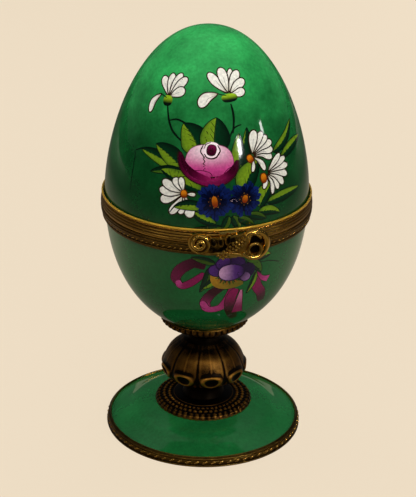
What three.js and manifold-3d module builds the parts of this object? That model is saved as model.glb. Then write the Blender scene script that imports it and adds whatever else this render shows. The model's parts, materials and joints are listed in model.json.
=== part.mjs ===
// A porcelain trinket box shaped like an egg on a pedestal foot, with antique brass mounts.
// The egg is cut near its widest circle into a bowl and a hinged lid. The bowl is held to a
// brass stem and a domed porcelain foot by one threaded rod with a nut at each end.
// Millimetres, +Z up, origin at the centre of the plane the foot stands on. The clasp is at
// the front, -Y, and the hinge at the back, +Y.
import * as THREE from 'three';
import { mergeVertices } from 'three/addons/utils/BufferGeometryUtils.js';
import Module from 'manifold-3d';

const wasm = await Module();
wasm.setup();

// ---- Driving dimensions ----

// The egg: its widest circle, and a superellipse above it and another below it.
const EQUATOR_Z = 74.3;
const EGG_RADIUS = 28.7;
const CROWN = { height: 46.8, power: 1.68, root: 2.12 };
const KEEL = { height: 42.3, power: 2.31, root: 2.02 };
const WALL = 2.4;
const SEAM_Z = 70.2; // the plane where lid and bowl meet
const SEAM_GAP = 0.1;
const SETTING_GAP = 0.12; // the film of cement between porcelain and brass
const STACK_GAP = 0.05; // between pieces screwed together

// The brass rims that edge the lid and the bowl.
const RIM_RADIUS = 29.8;
const LID_RIM_HEIGHT = 3.9;
const BOWL_RIM_HEIGHT = 3.6;
const RIM_LIP = 0.5; // thickness of the part folded over the porcelain's edge
const RIM_INNER_RADIUS = 25.9;

// The foot and what stands on it.
const FOOT_RADIUS = 27.2;
const FOOT_TOP_Z = 6.9;
const FOOT_WALL = 2.4;
const FOOT_SHOULDER = [[22.8, 4.1], [19.4, 5.9], [14, FOOT_TOP_Z]]; // [radius, z] of the dome
const FOOT_HOLLOW = { ceiling: 13.4, slope: [20, 2.9], mouth: 24.4 }; // underneath it
const FOOT_RIM = { radius: 28.6, height: 2.9, inner: 25.8, lip: 0.55 };
const FLANGE = { radius: 14.1, bottom: 7, edge: 8.1, top: 9.3, seat: 6.6 };
const STEM_BOTTOM_Z = FLANGE.top + STACK_GAP;
const STEM_TOP_Z = 28.6;
// [radius, z] up the stem: a waist over the flange, the bulge of the upturned tulip, and its neck.
const STEM_PROFILE = [
  [6.2, STEM_BOTTOM_Z],
  [5.6, 11.8],
  [6.8, 14.2],
  [10.5, 15.7],
  [12.3, 17.9],
  [12, 20.4],
  [10.2, 23.8],
  [7.3, 26.3],
  [5.6, 27.8],
  [5.4, STEM_TOP_Z],
];
const CUP = { radius: 12.6, bottom: 28.7, neck: 5.4, flare: 29.8, edge: 34.2, top: 35.2 };

// The rod down the middle, its nuts and washers.
const ROD = { radius: 1.5, bottom: 0.9, top: 37 };
const ROD_HOLE = 2.1;
const BOWL_FLOOR_Z = 34.8; // ground flat inside the bowl, for the washer
const BOWL_FLOOR_RADIUS = 5.4;
const WASHER = { radius: 4.6, thick: 0.7 };
const CAP_NUT = { radius: 3.2, skirt: 1.5, height: 2.9, bore: 1.8, crown: 0.9 };
const HEX_NUT = { radius: 3.4, height: 2 };

// The hinge, whose axis runs along X at the seam, just behind the rims.
const HINGE = { y: 31.5, barrel: 1.5, bore: 0.8, pin: 0.72, length: 16, middle: 6.8, gap: 0.2 };
const HINGE_HALF = HINGE.length / 2;
const MIDDLE_HALF = HINGE.middle / 2;
const LEAF = { height: 2.7, inner: 30, outer: 31.2, root: 28.2, offSeam: 0.25 };

// The clasp: a springy tongue hung from the lid's rim, with a cast bow on its face.
const CLASP_PAD = { width: 4.6, bottom: 72.1, top: 74, inner: 30.05, outer: 30.65 };
const TONGUE = { width: 5, bottom: 66.4, top: 74, inner: 30.75, outer: 31.2, hole: 1 };
const BOW = { inner: 31.3, outer: 32.4, knot: { radius: 2.6, outer: 33 } };
const LEFT_SCROLL = { x: -7.9, z: 71.2, radius: 3.2 };
const RIGHT_SCROLL = { x: 7.1, z: 70, radius: 4.2 };
const BAND = { bottom: 68.2, top: 73.4 }; // the straight part between the scrolls
const CATCH = { z: 67.6, radius: 0.75, foot: 29.85 };
const FRONT = [-40, -20]; // the stretch of Y that holds every clasp piece

const ROUND_STEPS = 40;
const SMALL_STEPS = 20;
const FINE_STEPS = 120; // for faces that touch over a narrow width
const EPSILON = 1e-4;

// ---- Materials ----

function finish(color, roughness, metalness) {
  return new THREE.MeshStandardMaterial({ color, roughness, metalness });
}

const GREEN_GLAZE = finish(0x14592b, 0.12, 0);
const AGED_BRASS = finish(0x5b421b, 0.4, 1);
const BRIGHT_BRASS = finish(0xa07a34, 0.3, 1);

// ---- Helpers ----

// Half the egg's width at a height, for the surface `inset` inside the outer one.
function eggRadius(z, inset = 0) {
  const half = z >= EQUATOR_Z ? CROWN : KEEL;
  const t = Math.min(1, Math.abs(z - EQUATOR_Z) / (half.height - inset));
  return (EGG_RADIUS - inset) * (1 - t ** half.power) ** (1 / half.root);
}

// The height on the keel where the surface `inset` inside the outer one has a given radius.
function keelHeight(radius, inset = 0) {
  const t = (1 - (radius / (EGG_RADIUS - inset)) ** KEEL.root) ** (1 / KEEL.power);
  return EQUATOR_Z - (KEEL.height - inset) * t;
}

// Points [radius, z] of one half of the egg between two heights, closer together at its tip.
function eggArc(half, fromZ, toZ, steps, inset = 0) {
  const sign = half === CROWN ? 1 : -1;
  const height = half.height - inset;
  const angle = (z) => Math.asin(Math.min(1, Math.abs(z - EQUATOR_Z) / height));
  return Array.from({ length: steps + 1 }, (_, i) => {
    const a = THREE.MathUtils.lerp(angle(fromZ), angle(toZ), i / steps);
    const z = EQUATOR_Z + sign * height * Math.sin(a);
    const r = eggRadius(z, inset);
    return [r < 0.01 ? 0 : r, z];
  });
}

// Points [radius, z] of a smooth curve through a few others.
function smooth(points, steps) {
  const curve = new THREE.SplineCurve(points.map(([r, z]) => new THREE.Vector2(r, z)));
  return curve.getPoints(steps).map((p) => [p.x, p.y]);
}

// A solid of revolution about Z. The outline starts and ends on the axis, or closes on itself.
function turn(outline, steps = ROUND_STEPS) {
  const points = outline.map(([r, z]) => new THREE.Vector2(r, z));
  if (THREE.ShapeUtils.isClockWise(points)) points.reverse();
  if (points[0].x > EPSILON) points.push(points[0].clone());
  return new THREE.LatheGeometry(points, steps).rotateX(Math.PI / 2);
}

function box(xRange, yRange, zRange) {
  const [size, middle] = [xRange, yRange, zRange].reduce(
    ([s, m], [low, high]) => [[...s, high - low], [...m, (low + high) / 2]],
    [[], []],
  );
  return new THREE.BoxGeometry(...size).translate(...middle);
}

// A cylinder along X, on the hinge's axis.
function hingeRod(radius, fromX, toX, steps = SMALL_STEPS) {
  return new THREE.CylinderGeometry(radius, radius, toX - fromX, steps)
    .rotateZ(Math.PI / 2)
    .translate((fromX + toX) / 2, HINGE.y, SEAM_Z);
}

// A ring about Z with a rectangular section.
function ring(inner, outer, bottom, top, steps = ROUND_STEPS) {
  return turn([[inner, bottom], [outer, bottom], [outer, top], [inner, top]], steps);
}

function solidOf(geometry) {
  const bare = geometry.clone();
  bare.deleteAttribute('normal');
  bare.deleteAttribute('uv');
  const merged = mergeVertices(bare, EPSILON);
  return new wasm.Manifold(new wasm.Mesh({
    numProp: 3,
    vertProperties: merged.attributes.position.array,
    triVerts: new Uint32Array(merged.index.array),
  }));
}

function geometryOf(solid) {
  const { vertProperties, triVerts } = solid.getMesh();
  return new THREE.BufferGeometry()
    .setAttribute('position', new THREE.BufferAttribute(vertProperties, 3))
    .setIndex(new THREE.BufferAttribute(triVerts, 1));
}

function join(...geometries) {
  return geometryOf(geometries.map(solidOf).reduce((a, b) => a.add(b)));
}

function cut(geometry, ...tools) {
  return geometryOf(tools.map(solidOf).reduce((a, b) => a.subtract(b), solidOf(geometry)));
}

function common(a, b) {
  return geometryOf(solidOf(a).intersect(solidOf(b)));
}

function piece(name, geometry, material) {
  const mesh = new THREE.Mesh(geometry, material);
  mesh.name = name;
  return mesh;
}

// ---- Porcelain ----

function lidPorcelain() {
  const lip = SEAM_Z + SEAM_GAP + RIM_LIP + SETTING_GAP;
  const tip = EQUATOR_Z + CROWN.height;
  return turn([
    [eggRadius(lip), lip],
    ...eggArc(CROWN, EQUATOR_Z, tip, 9),
    ...eggArc(CROWN, tip - WALL, EQUATOR_Z, 8, WALL),
    [eggRadius(lip, WALL), lip],
  ]);
}

function bowlPorcelain() {
  const lip = SEAM_Z - RIM_LIP - SETTING_GAP;
  const floorEdge = keelHeight(BOWL_FLOOR_RADIUS, WALL);
  return turn([
    [ROD_HOLE, keelHeight(ROD_HOLE)],
    ...eggArc(KEEL, keelHeight(5), lip, 9),
    ...eggArc(KEEL, lip, Math.max(floorEdge, BOWL_FLOOR_Z + 0.3), 7, WALL),
    [BOWL_FLOOR_RADIUS - 0.4, BOWL_FLOOR_Z],
    [ROD_HOLE, BOWL_FLOOR_Z],
  ]);
}

// The foot is a shallow dome with a flared edge, open underneath.
function footPorcelain() {
  const top = smooth([
    [FOOT_RADIUS, FOOT_RIM.height - 0.5],
    [FOOT_RADIUS - 1.6, FOOT_RIM.height],
    ...FOOT_SHOULDER,
  ], 8);
  const under = FOOT_RIM.lip + SETTING_GAP;
  const ceiling = FOOT_TOP_Z - FOOT_WALL;
  return turn([
    [FOOT_RADIUS, under],
    ...top,
    [ROD_HOLE, FOOT_TOP_Z],
    [ROD_HOLE, ceiling],
    [FOOT_HOLLOW.ceiling, ceiling],
    FOOT_HOLLOW.slope,
    [FOOT_HOLLOW.mouth, under],
  ]);
}

// ---- Brass rims ----

function lidRim() {
  const bottom = SEAM_Z + SEAM_GAP;
  const top = bottom + LID_RIM_HEIGHT;
  const inside = (z) => [eggRadius(z) + SETTING_GAP, z];
  return turn([
    [RIM_INNER_RADIUS, bottom],
    [RIM_RADIUS - 0.1, bottom],
    ...smooth([
      [RIM_RADIUS, bottom + 0.25],
      [RIM_RADIUS, bottom + 1.2],
      [RIM_RADIUS - 0.35, bottom + 2.6],
      [RIM_RADIUS - 0.6, top - 0.7],
    ], 4),
    [RIM_RADIUS - 0.5, top - 0.3],
    [RIM_RADIUS - 0.75, top],
    inside(top),
    inside(bottom + RIM_LIP),
    [RIM_INNER_RADIUS, bottom + RIM_LIP],
  ]);
}

function bowlRim() {
  const top = SEAM_Z;
  const bottom = top - BOWL_RIM_HEIGHT;
  const inside = (z) => [eggRadius(z) + SETTING_GAP, z];
  return turn([
    inside(bottom),
    [RIM_RADIUS - 0.85, bottom],
    ...smooth([
      [RIM_RADIUS - 0.65, bottom + 0.3],
      [RIM_RADIUS - 0.35, bottom + 1.4],
      [RIM_RADIUS, top - 0.7],
      [RIM_RADIUS, top - 0.25],
    ], 4),
    [RIM_RADIUS - 0.1, top],
    [RIM_INNER_RADIUS, top],
    [RIM_INNER_RADIUS, top - RIM_LIP],
    inside(top - RIM_LIP),
  ]);
}

function footRim() {
  const { radius, height, inner, lip } = FOOT_RIM;
  const gap = FOOT_RADIUS + SETTING_GAP;
  return turn([
    [inner, 0],
    [radius - 0.2, 0],
    [radius, 0.3],
    [radius, 1.5],
    [radius - 0.35, 2.5],
    [radius - 0.9, height],
    [gap, height],
    [gap, lip],
    [inner, lip],
  ]);
}

// ---- Stem ----

function stemFlange() {
  const { radius, bottom, edge, top, seat } = FLANGE;
  return turn([
    [ROD_HOLE, bottom],
    [radius - 0.3, bottom],
    [radius, bottom + 0.3],
    [radius, edge],
    [radius - 0.5, edge + 0.4],
    [seat + 1.6, top - 0.4],
    [seat, top],
    [ROD_HOLE, top],
  ]);
}

function stem() {
  return turn([
    [ROD_HOLE, STEM_BOTTOM_Z],
    ...smooth(STEM_PROFILE, 18),
    [ROD_HOLE, STEM_TOP_Z],
  ]);
}

// The cup that the bowl sits in. Its inside follows the egg.
function seatCup() {
  const seat = [CUP.radius - 0.7, 10, 7, 4, ROD_HOLE];
  return turn([
    [ROD_HOLE, CUP.bottom],
    [CUP.neck, CUP.bottom],
    [CUP.neck + 0.2, CUP.flare],
    [CUP.neck + 1.2, CUP.flare + 0.8],
    [CUP.radius - 3.1, CUP.edge - 2.1],
    [CUP.radius - 0.4, CUP.edge - 0.4],
    [CUP.radius, CUP.edge],
    [CUP.radius, CUP.top - 0.4],
    [CUP.radius - 0.3, CUP.top],
    ...seat.map((r) => [r, keelHeight(r) - SETTING_GAP]),
  ]);
}

// ---- Rod, nuts and washers ----

function tieRod() {
  const { radius, bottom, top } = ROD;
  return new THREE.CylinderGeometry(radius, radius, top - bottom, SMALL_STEPS / 2)
    .rotateX(Math.PI / 2)
    .translate(0, 0, (bottom + top) / 2);
}

function washer(bottom) {
  return ring(ROD_HOLE, WASHER.radius, bottom, bottom + WASHER.thick, SMALL_STEPS);
}

function capNut(bottom) {
  const { radius, skirt, height, bore, crown } = CAP_NUT;
  const dome = [0.3, 0.6, 0.85].map((share) => {
    const angle = (share * Math.PI) / 2;
    return [radius * Math.cos(angle), bottom + skirt + (height - skirt) * Math.sin(angle)];
  });
  return turn([
    [bore, bottom],
    [radius, bottom],
    [radius, bottom + skirt],
    ...dome,
    [0, bottom + height],
    [0, bottom + height - crown],
    [bore, bottom + height - crown],
  ], SMALL_STEPS);
}

function hexNut(top) {
  return ring(CAP_NUT.bore, HEX_NUT.radius, top - HEX_NUT.height, top, 6);
}

// ---- Hinge ----

// One leaf with its knuckles: `side` is 1 for the lid's, above the seam, and -1 for the bowl's.
// `knuckles` and `others` hold the stretches of X that its own and the other leaf's barrels fill.
function hingeLeaf(side, knuckles, others) {
  const near = SEAM_Z + side * LEAF.offSeam;
  const far = near + side * LEAF.height;
  const heights = [Math.min(near, far), Math.max(near, far)];
  const plate = box([-HINGE_HALF, HINGE_HALF], [LEAF.root, LEAF.outer], heights);
  const rims = ring(1, LEAF.inner, BAND.bottom - 5, BAND.top + 5, FINE_STEPS);
  const room = others.map(([from, to]) => hingeRod(HINGE.barrel + HINGE.gap, from, to));
  const barrels = knuckles.map(([from, to]) => hingeRod(HINGE.barrel, from, to));
  const leaf = join(cut(plate, rims, ...room), ...barrels);
  return cut(leaf, rims, hingeRod(HINGE.bore, -HINGE_HALF - 1, HINGE_HALF + 1, 16));
}

function lidHingeLeaf() {
  const ends = [[-HINGE_HALF - 1, -MIDDLE_HALF], [MIDDLE_HALF, HINGE_HALF + 1]];
  return hingeLeaf(1, [[-MIDDLE_HALF, MIDDLE_HALF]], ends);
}

function bowlHingeLeaf() {
  const inner = MIDDLE_HALF + HINGE.gap;
  return hingeLeaf(-1, [[-HINGE_HALF, -inner], [inner, HINGE_HALF]], [[-inner, inner]]);
}

function hingePin() {
  return hingeRod(HINGE.pin, -HINGE_HALF - 0.15, HINGE_HALF + 0.15, 16);
}

// ---- Clasp ----

// The part of a ring about Z that stands in front of a width and between two heights.
function frontOf({ inner, outer, width, bottom, top }) {
  const block = box([-width / 2, width / 2], FRONT, [bottom, top]);
  return common(block, ring(inner, outer, bottom - 1, top + 1, FINE_STEPS));
}

function claspTongue() {
  const drill = new THREE.CylinderGeometry(TONGUE.hole, TONGUE.hole, 10, 16);
  return cut(frontOf(TONGUE), drill.translate(0, -TONGUE.inner, CATCH.z));
}

// A drum along Y in front of the rims, and a ring about Z that gives it its curved faces.
function frontDrum(radius, x, z, inner, outer, steps) {
  const drum = new THREE.CylinderGeometry(radius, radius, 20, steps).translate(x, -30, z);
  return common(drum, ring(inner, outer, z - 10, z + 10, FINE_STEPS));
}

// The bow: a scroll at each end of a band, with a knot in the middle.
function claspBow() {
  const { inner, outer, knot } = BOW;
  const scrolls = [LEFT_SCROLL, RIGHT_SCROLL].map(({ radius, x, z }) => (
    frontDrum(radius, x, z, inner, outer, SMALL_STEPS)
  ));
  const block = box([LEFT_SCROLL.x, RIGHT_SCROLL.x], FRONT, [BAND.bottom, BAND.top]);
  const band = common(block, ring(inner, outer, BAND.bottom - 1, BAND.top + 1, FINE_STEPS));
  const middleZ = (BAND.bottom + BAND.top) / 2;
  return join(band, ...scrolls, frontDrum(knot.radius, 0, middleZ, inner, knot.outer, SMALL_STEPS));
}

// The bead on the bowl's rim that the tongue snaps over.
function catchBead() {
  const { radius, z, foot } = CATCH;
  const dome = [0, 0.25, 0.5, 0.75, 1].map((share) => {
    const angle = (share * Math.PI) / 2;
    return [radius * Math.cos(angle), radius * Math.sin(angle)];
  });
  dome[dome.length - 1][0] = 0;
  return turn([[0, 0], ...dome], 16).rotateX(Math.PI / 2).translate(0, -foot, z);
}

// ---- Assembly ----

const base = new THREE.Group();
const lid = new THREE.Group();
const clasp = new THREE.Group();
const trinketBox = new THREE.Group();

const footWasherBottom = FOOT_TOP_Z - FOOT_WALL - STACK_GAP - WASHER.thick;

base.add(
  piece('foot_porcelain', footPorcelain(), GREEN_GLAZE),
  piece('foot_rim', footRim(), AGED_BRASS),
  piece('stem_flange', stemFlange(), AGED_BRASS),
  piece('stem', stem(), AGED_BRASS),
  piece('seat_cup', seatCup(), AGED_BRASS),
  piece('bowl_porcelain', bowlPorcelain(), GREEN_GLAZE),
  piece('bowl_rim', bowlRim(), AGED_BRASS),
  piece('bowl_hinge_leaf', bowlHingeLeaf(), AGED_BRASS),
  piece('hinge_pin', hingePin(), BRIGHT_BRASS),
  piece('catch_bead', catchBead(), BRIGHT_BRASS),
  piece('tie_rod', tieRod(), BRIGHT_BRASS),
  piece('bowl_washer', washer(BOWL_FLOOR_Z + STACK_GAP), BRIGHT_BRASS),
  piece('bowl_cap_nut', capNut(BOWL_FLOOR_Z + 2 * STACK_GAP + WASHER.thick), BRIGHT_BRASS),
  piece('foot_washer', washer(footWasherBottom), BRIGHT_BRASS),
  piece('foot_hex_nut', hexNut(footWasherBottom - STACK_GAP), BRIGHT_BRASS),
);
lid.add(
  piece('lid_porcelain', lidPorcelain(), GREEN_GLAZE),
  piece('lid_rim', lidRim(), AGED_BRASS),
  piece('lid_hinge_leaf', lidHingeLeaf(), AGED_BRASS),
  piece('clasp_pad', frontOf(CLASP_PAD), AGED_BRASS),
);
clasp.add(
  piece('clasp_tongue', claspTongue(), BRIGHT_BRASS),
  piece('clasp_bow', claspBow(), AGED_BRASS),
);
lid.add(clasp);
trinketBox.add(base, lid);

export default trinketBox;
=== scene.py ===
"""Looks of an egg-shaped porcelain trinket box on a brass stem and a domed foot.

Lengths in this script are millimetres, and angles are degrees unless a name says otherwise.
Azimuth is measured round the box from the clasp at the front (-Y), to the right. The mesh
builder turns millimetres into Blender's metres.
"""
import json
import math
import random

import bmesh
import bpy
import numpy as np
from mathutils import Matrix, Vector

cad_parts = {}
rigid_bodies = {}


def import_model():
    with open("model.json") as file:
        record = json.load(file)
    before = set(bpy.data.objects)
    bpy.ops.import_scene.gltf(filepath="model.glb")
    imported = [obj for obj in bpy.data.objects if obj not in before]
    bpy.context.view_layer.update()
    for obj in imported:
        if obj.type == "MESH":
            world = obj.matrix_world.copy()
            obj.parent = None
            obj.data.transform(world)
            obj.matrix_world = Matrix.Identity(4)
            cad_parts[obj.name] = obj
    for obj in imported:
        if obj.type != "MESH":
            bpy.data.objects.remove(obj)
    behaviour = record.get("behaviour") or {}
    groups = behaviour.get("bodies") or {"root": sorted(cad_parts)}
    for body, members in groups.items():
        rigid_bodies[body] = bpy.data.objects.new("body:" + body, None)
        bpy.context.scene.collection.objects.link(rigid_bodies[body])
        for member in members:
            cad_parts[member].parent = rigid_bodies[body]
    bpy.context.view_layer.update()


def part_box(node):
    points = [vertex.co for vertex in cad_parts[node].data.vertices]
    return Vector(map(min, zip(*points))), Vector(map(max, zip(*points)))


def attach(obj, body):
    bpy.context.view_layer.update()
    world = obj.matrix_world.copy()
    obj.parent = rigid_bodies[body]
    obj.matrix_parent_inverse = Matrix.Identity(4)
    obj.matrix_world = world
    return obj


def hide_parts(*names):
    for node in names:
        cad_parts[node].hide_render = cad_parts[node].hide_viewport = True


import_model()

METRES = 0.001  # one millimetre
FULL_TURN = 2 * math.pi


# ---- Sizes, from the frame where it holds them ----

def node_box(node):
    """The lowest and highest corner of a CAD piece, in millimetres."""
    low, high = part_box(node)
    return low / METRES, high / METRES


_, LID_HIGH = node_box("lid_porcelain")
BOWL_LOW, _ = node_box("bowl_porcelain")
LID_RIM_LOW, LID_RIM_HIGH = node_box("lid_rim")
BOWL_RIM_LOW, BOWL_RIM_HIGH = node_box("bowl_rim")
FOOT_LOW, FOOT_HIGH = node_box("foot_porcelain")
_, FOOT_RIM_HIGH = node_box("foot_rim")
FLANGE_LOW, FLANGE_HIGH = node_box("stem_flange")
STEM_LOW, STEM_HIGH = node_box("stem")
CUP_LOW, CUP_HIGH = node_box("seat_cup")

# The egg: its widest circle, and a superellipse above it and another below it.
EGG_RADIUS = LID_HIGH.x
EQUATOR_Z = 74.3
CROWN_HEIGHT = LID_HIGH.z - EQUATOR_Z
CROWN_POWER, CROWN_ROOT = 1.68, 2.12
KEEL_HEIGHT = 42.3
KEEL_POWER, KEEL_ROOT = 2.31, 2.02
WALL = 2.4
SEAM_Z = BOWL_RIM_HIGH.z
SEAM_GAP = 0.1
RIM_RADIUS = LID_RIM_HIGH.x
RIM_INNER_RADIUS = 25.9
RIM_LIP = 0.5
RIM_RELIEF = 0.24  # how far the rims' plain faces lie inside RIM_RADIUS
FOOT_RADIUS = FOOT_HIGH.x
SETTING_GAP = 0.12  # the cement between porcelain and brass
ROD_HOLE = 2.1
BOWL_FLOOR_Z = 34.8
NUT_BORE = 1.8

# The clasp's layers, as radii about the egg's axis, and the hinge's.
PAD_INNER, PAD_OUTER = 30.05, 30.65
TONGUE_INNER, TONGUE_OUTER = 30.75, 31.2
BOW_INNER, BOW_FACE = 31.3, 32.0
CATCH_Z = 67.6
HINGE_Y, BARREL = 31.5, 1.5
LEAF_INNER, LEAF_OUTER = 30.0, 31.2


def turns(count):
    """Angles, in radians, at even steps round a circle."""
    return [FULL_TURN * k / count for k in range(count)]


def quarter(count):
    """Angles over the first quarter of a circle, without its end."""
    return [math.pi / 2 * k / 10 for k in range(count)]


def egg_radius(z, inset=0.0):
    """Half the egg's width at a height, on the surface `inset` inside the glaze."""
    if z >= EQUATOR_Z:
        height, power, root = CROWN_HEIGHT, CROWN_POWER, CROWN_ROOT
    else:
        height, power, root = KEEL_HEIGHT, KEEL_POWER, KEEL_ROOT
    share = min(1.0, abs(z - EQUATOR_Z) / (height - inset))
    return (EGG_RADIUS - inset) * (1 - share ** power) ** (1 / root)


def egg_arc(z_from, z_to, steps, inset=0.0):
    """Points (radius, z) along the egg between two heights on one side of its widest circle."""
    height = (CROWN_HEIGHT if max(z_from, z_to) > EQUATOR_Z else KEEL_HEIGHT) - inset
    sign = 1 if max(z_from, z_to) > EQUATOR_Z else -1
    start, end = (math.asin(min(1.0, abs(z - EQUATOR_Z) / height)) for z in (z_from, z_to))
    arc = []
    for i in range(steps + 1):
        z = EQUATOR_Z + sign * height * math.sin(start + (end - start) * i / steps)
        arc.append((egg_radius(z, inset), z))
    return arc


# ---- Mesh building ----

class Shape:
    """A mesh in the making: points in millimetres, faces, a colour per point, a material per face."""

    def __init__(self):
        self.points = []
        self.faces = []
        self.colors = []
        self.materials = []

    def add(self, points, faces, colors=None, material=0):
        start = len(self.points)
        self.points += [tuple(p) for p in points]
        self.faces += [tuple(start + i for i in face) for face in faces]
        self.materials += [material] * len(faces)
        self.colors += colors or [(1, 1, 1)] * len(points)

    def lathe(self, outline, steps, bend=None, material=0, closed=True):
        """A solid of revolution. `outline` holds (radius, z), and may start and end on the axis.
        `bend(radius, z, angle, row)` returns the radius and z at an angle in radians."""
        rows = []
        points = []
        for row, (radius, z) in enumerate(outline):
            if radius < 1e-6:
                rows.append([len(points)] * steps)
                points.append((0, 0, z))
                continue
            rows.append(list(range(len(points), len(points) + steps)))
            for i in range(steps):
                angle = FULL_TURN * i / steps
                r, height = bend(radius, z, angle, row) if bend else (radius, z)
                points.append((r * math.sin(angle), -r * math.cos(angle), height))
        pairs = list(zip(rows, rows[1:]))
        if closed and outline[0][0] > 1e-6:
            pairs.append((rows[-1], rows[0]))
        faces = []
        for low, high in pairs:
            for i in range(steps):
                j = (i + 1) % steps
                corners = []
                for corner in (low[i], low[j], high[j], high[i]):
                    if corner not in corners:
                        corners.append(corner)
                faces.append(tuple(corners))
        self.add(points, faces, material=material)

    def loft(self, sections, ring=False, colors=None):
        """A skin over rings of points with equal counts. `ring` joins the last section to the first,
        and the ends are closed without it."""
        count = len(sections[0])
        points = [p for section in sections for p in section]
        total = len(sections)
        faces = []
        for s in range(total if ring else total - 1):
            a, b = s * count, ((s + 1) % total) * count
            faces += [(a + i, a + (i + 1) % count, b + (i + 1) % count, b + i) for i in range(count)]
        if not ring:
            faces.append(tuple(range(count))[::-1])
            faces.append(tuple(range((total - 1) * count, total * count)))
        self.add(points, faces, colors)

    def build(self, name, materials, body, slot, replaces=(), sharp=40):
        """Makes the Blender object, riding on a CAD body."""
        mesh = bpy.data.meshes.new(name)
        mesh.from_pydata([Vector(p) * METRES for p in self.points], [], self.faces)
        for material in materials:
            mesh.materials.append(material)
        mesh.polygons.foreach_set("material_index", self.materials)
        layer = mesh.color_attributes.new("Paint", "FLOAT_COLOR", "POINT")
        layer.data.foreach_set("color", [c for color in self.colors for c in (*color, 1.0)])
        fix_winding(mesh)
        mesh.shade_smooth()
        mesh.set_sharp_from_angle(angle=math.radians(sharp))
        obj = bpy.data.objects.new(name, mesh)
        bpy.context.scene.collection.objects.link(obj)
        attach(obj, body)
        if replaces:
            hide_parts(*replaces)
        return obj


def fix_winding(mesh):
    """Turns every face outwards."""
    bm = bmesh.new()
    bm.from_mesh(mesh)
    bmesh.ops.recalc_face_normals(bm, faces=bm.faces)
    bm.to_mesh(mesh)
    bm.free()
    mesh.update()


DULL_AND_SHADED = 0.3  # the wear of unrubbed brass, and painted shade in the hollows under the cup and over the flange


def add_wear(obj, reach=3, gain=1.0, unrubbed_and_shaded=()):
    """Writes the attribute `Wear`: high on ridges and edges, low in hollows, 0.5 where it is flat.
    Between the two heights of each pair in the bands given, the brass is kept dull: unrubbed patina, and
    painted shade in these hollows."""
    mesh = obj.data
    count = len(mesh.vertices)
    points = np.empty(count * 3)
    mesh.vertices.foreach_get("co", points)
    points = points.reshape(-1, 3) / METRES
    normals = np.empty(count * 3)
    mesh.vertices.foreach_get("normal", normals)
    normals = normals.reshape(-1, 3)
    edges = np.empty(len(mesh.edges) * 2, dtype=np.int64)
    mesh.edges.foreach_get("vertices", edges)
    a, b = edges.reshape(-1, 2).T
    degree = np.maximum(np.bincount(a, minlength=count) + np.bincount(b, minlength=count), 1)

    def neighbour_mean(values):
        total = np.zeros_like(values)
        np.add.at(total, a, values[b])
        np.add.at(total, b, values[a])
        return total / degree.reshape(-1, *[1] * (values.ndim - 1))

    around = points
    for _ in range(reach):
        around = neighbour_mean(around)
    height = ((points - around) * normals).sum(axis=1)
    scale = np.percentile(np.abs(height), 90) + 1e-6
    wear = np.clip(0.5 + 0.5 * gain * height / scale, 0, 1)
    # Painted shade as well as unrubbed patina: the bands under the cup and over the flange keep the dull
    # wear.
    for low, high in unrubbed_and_shaded:
        wear[(points[:, 2] > low) & (points[:, 2] < high)] = DULL_AND_SHADED
    layer = mesh.attributes.new("Wear", "FLOAT", "POINT")
    layer.data.foreach_set("value", wear.astype(np.float32))


# ---- Materials ----

def linear(red, green, blue):
    """An sRGB colour, 0 to 255, as Blender's linear colour."""
    def channel(value):
        value /= 255
        return value / 12.92 if value <= 0.04045 else ((value + 0.055) / 1.055) ** 2.4
    return channel(red), channel(green), channel(blue), 1.0


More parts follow.
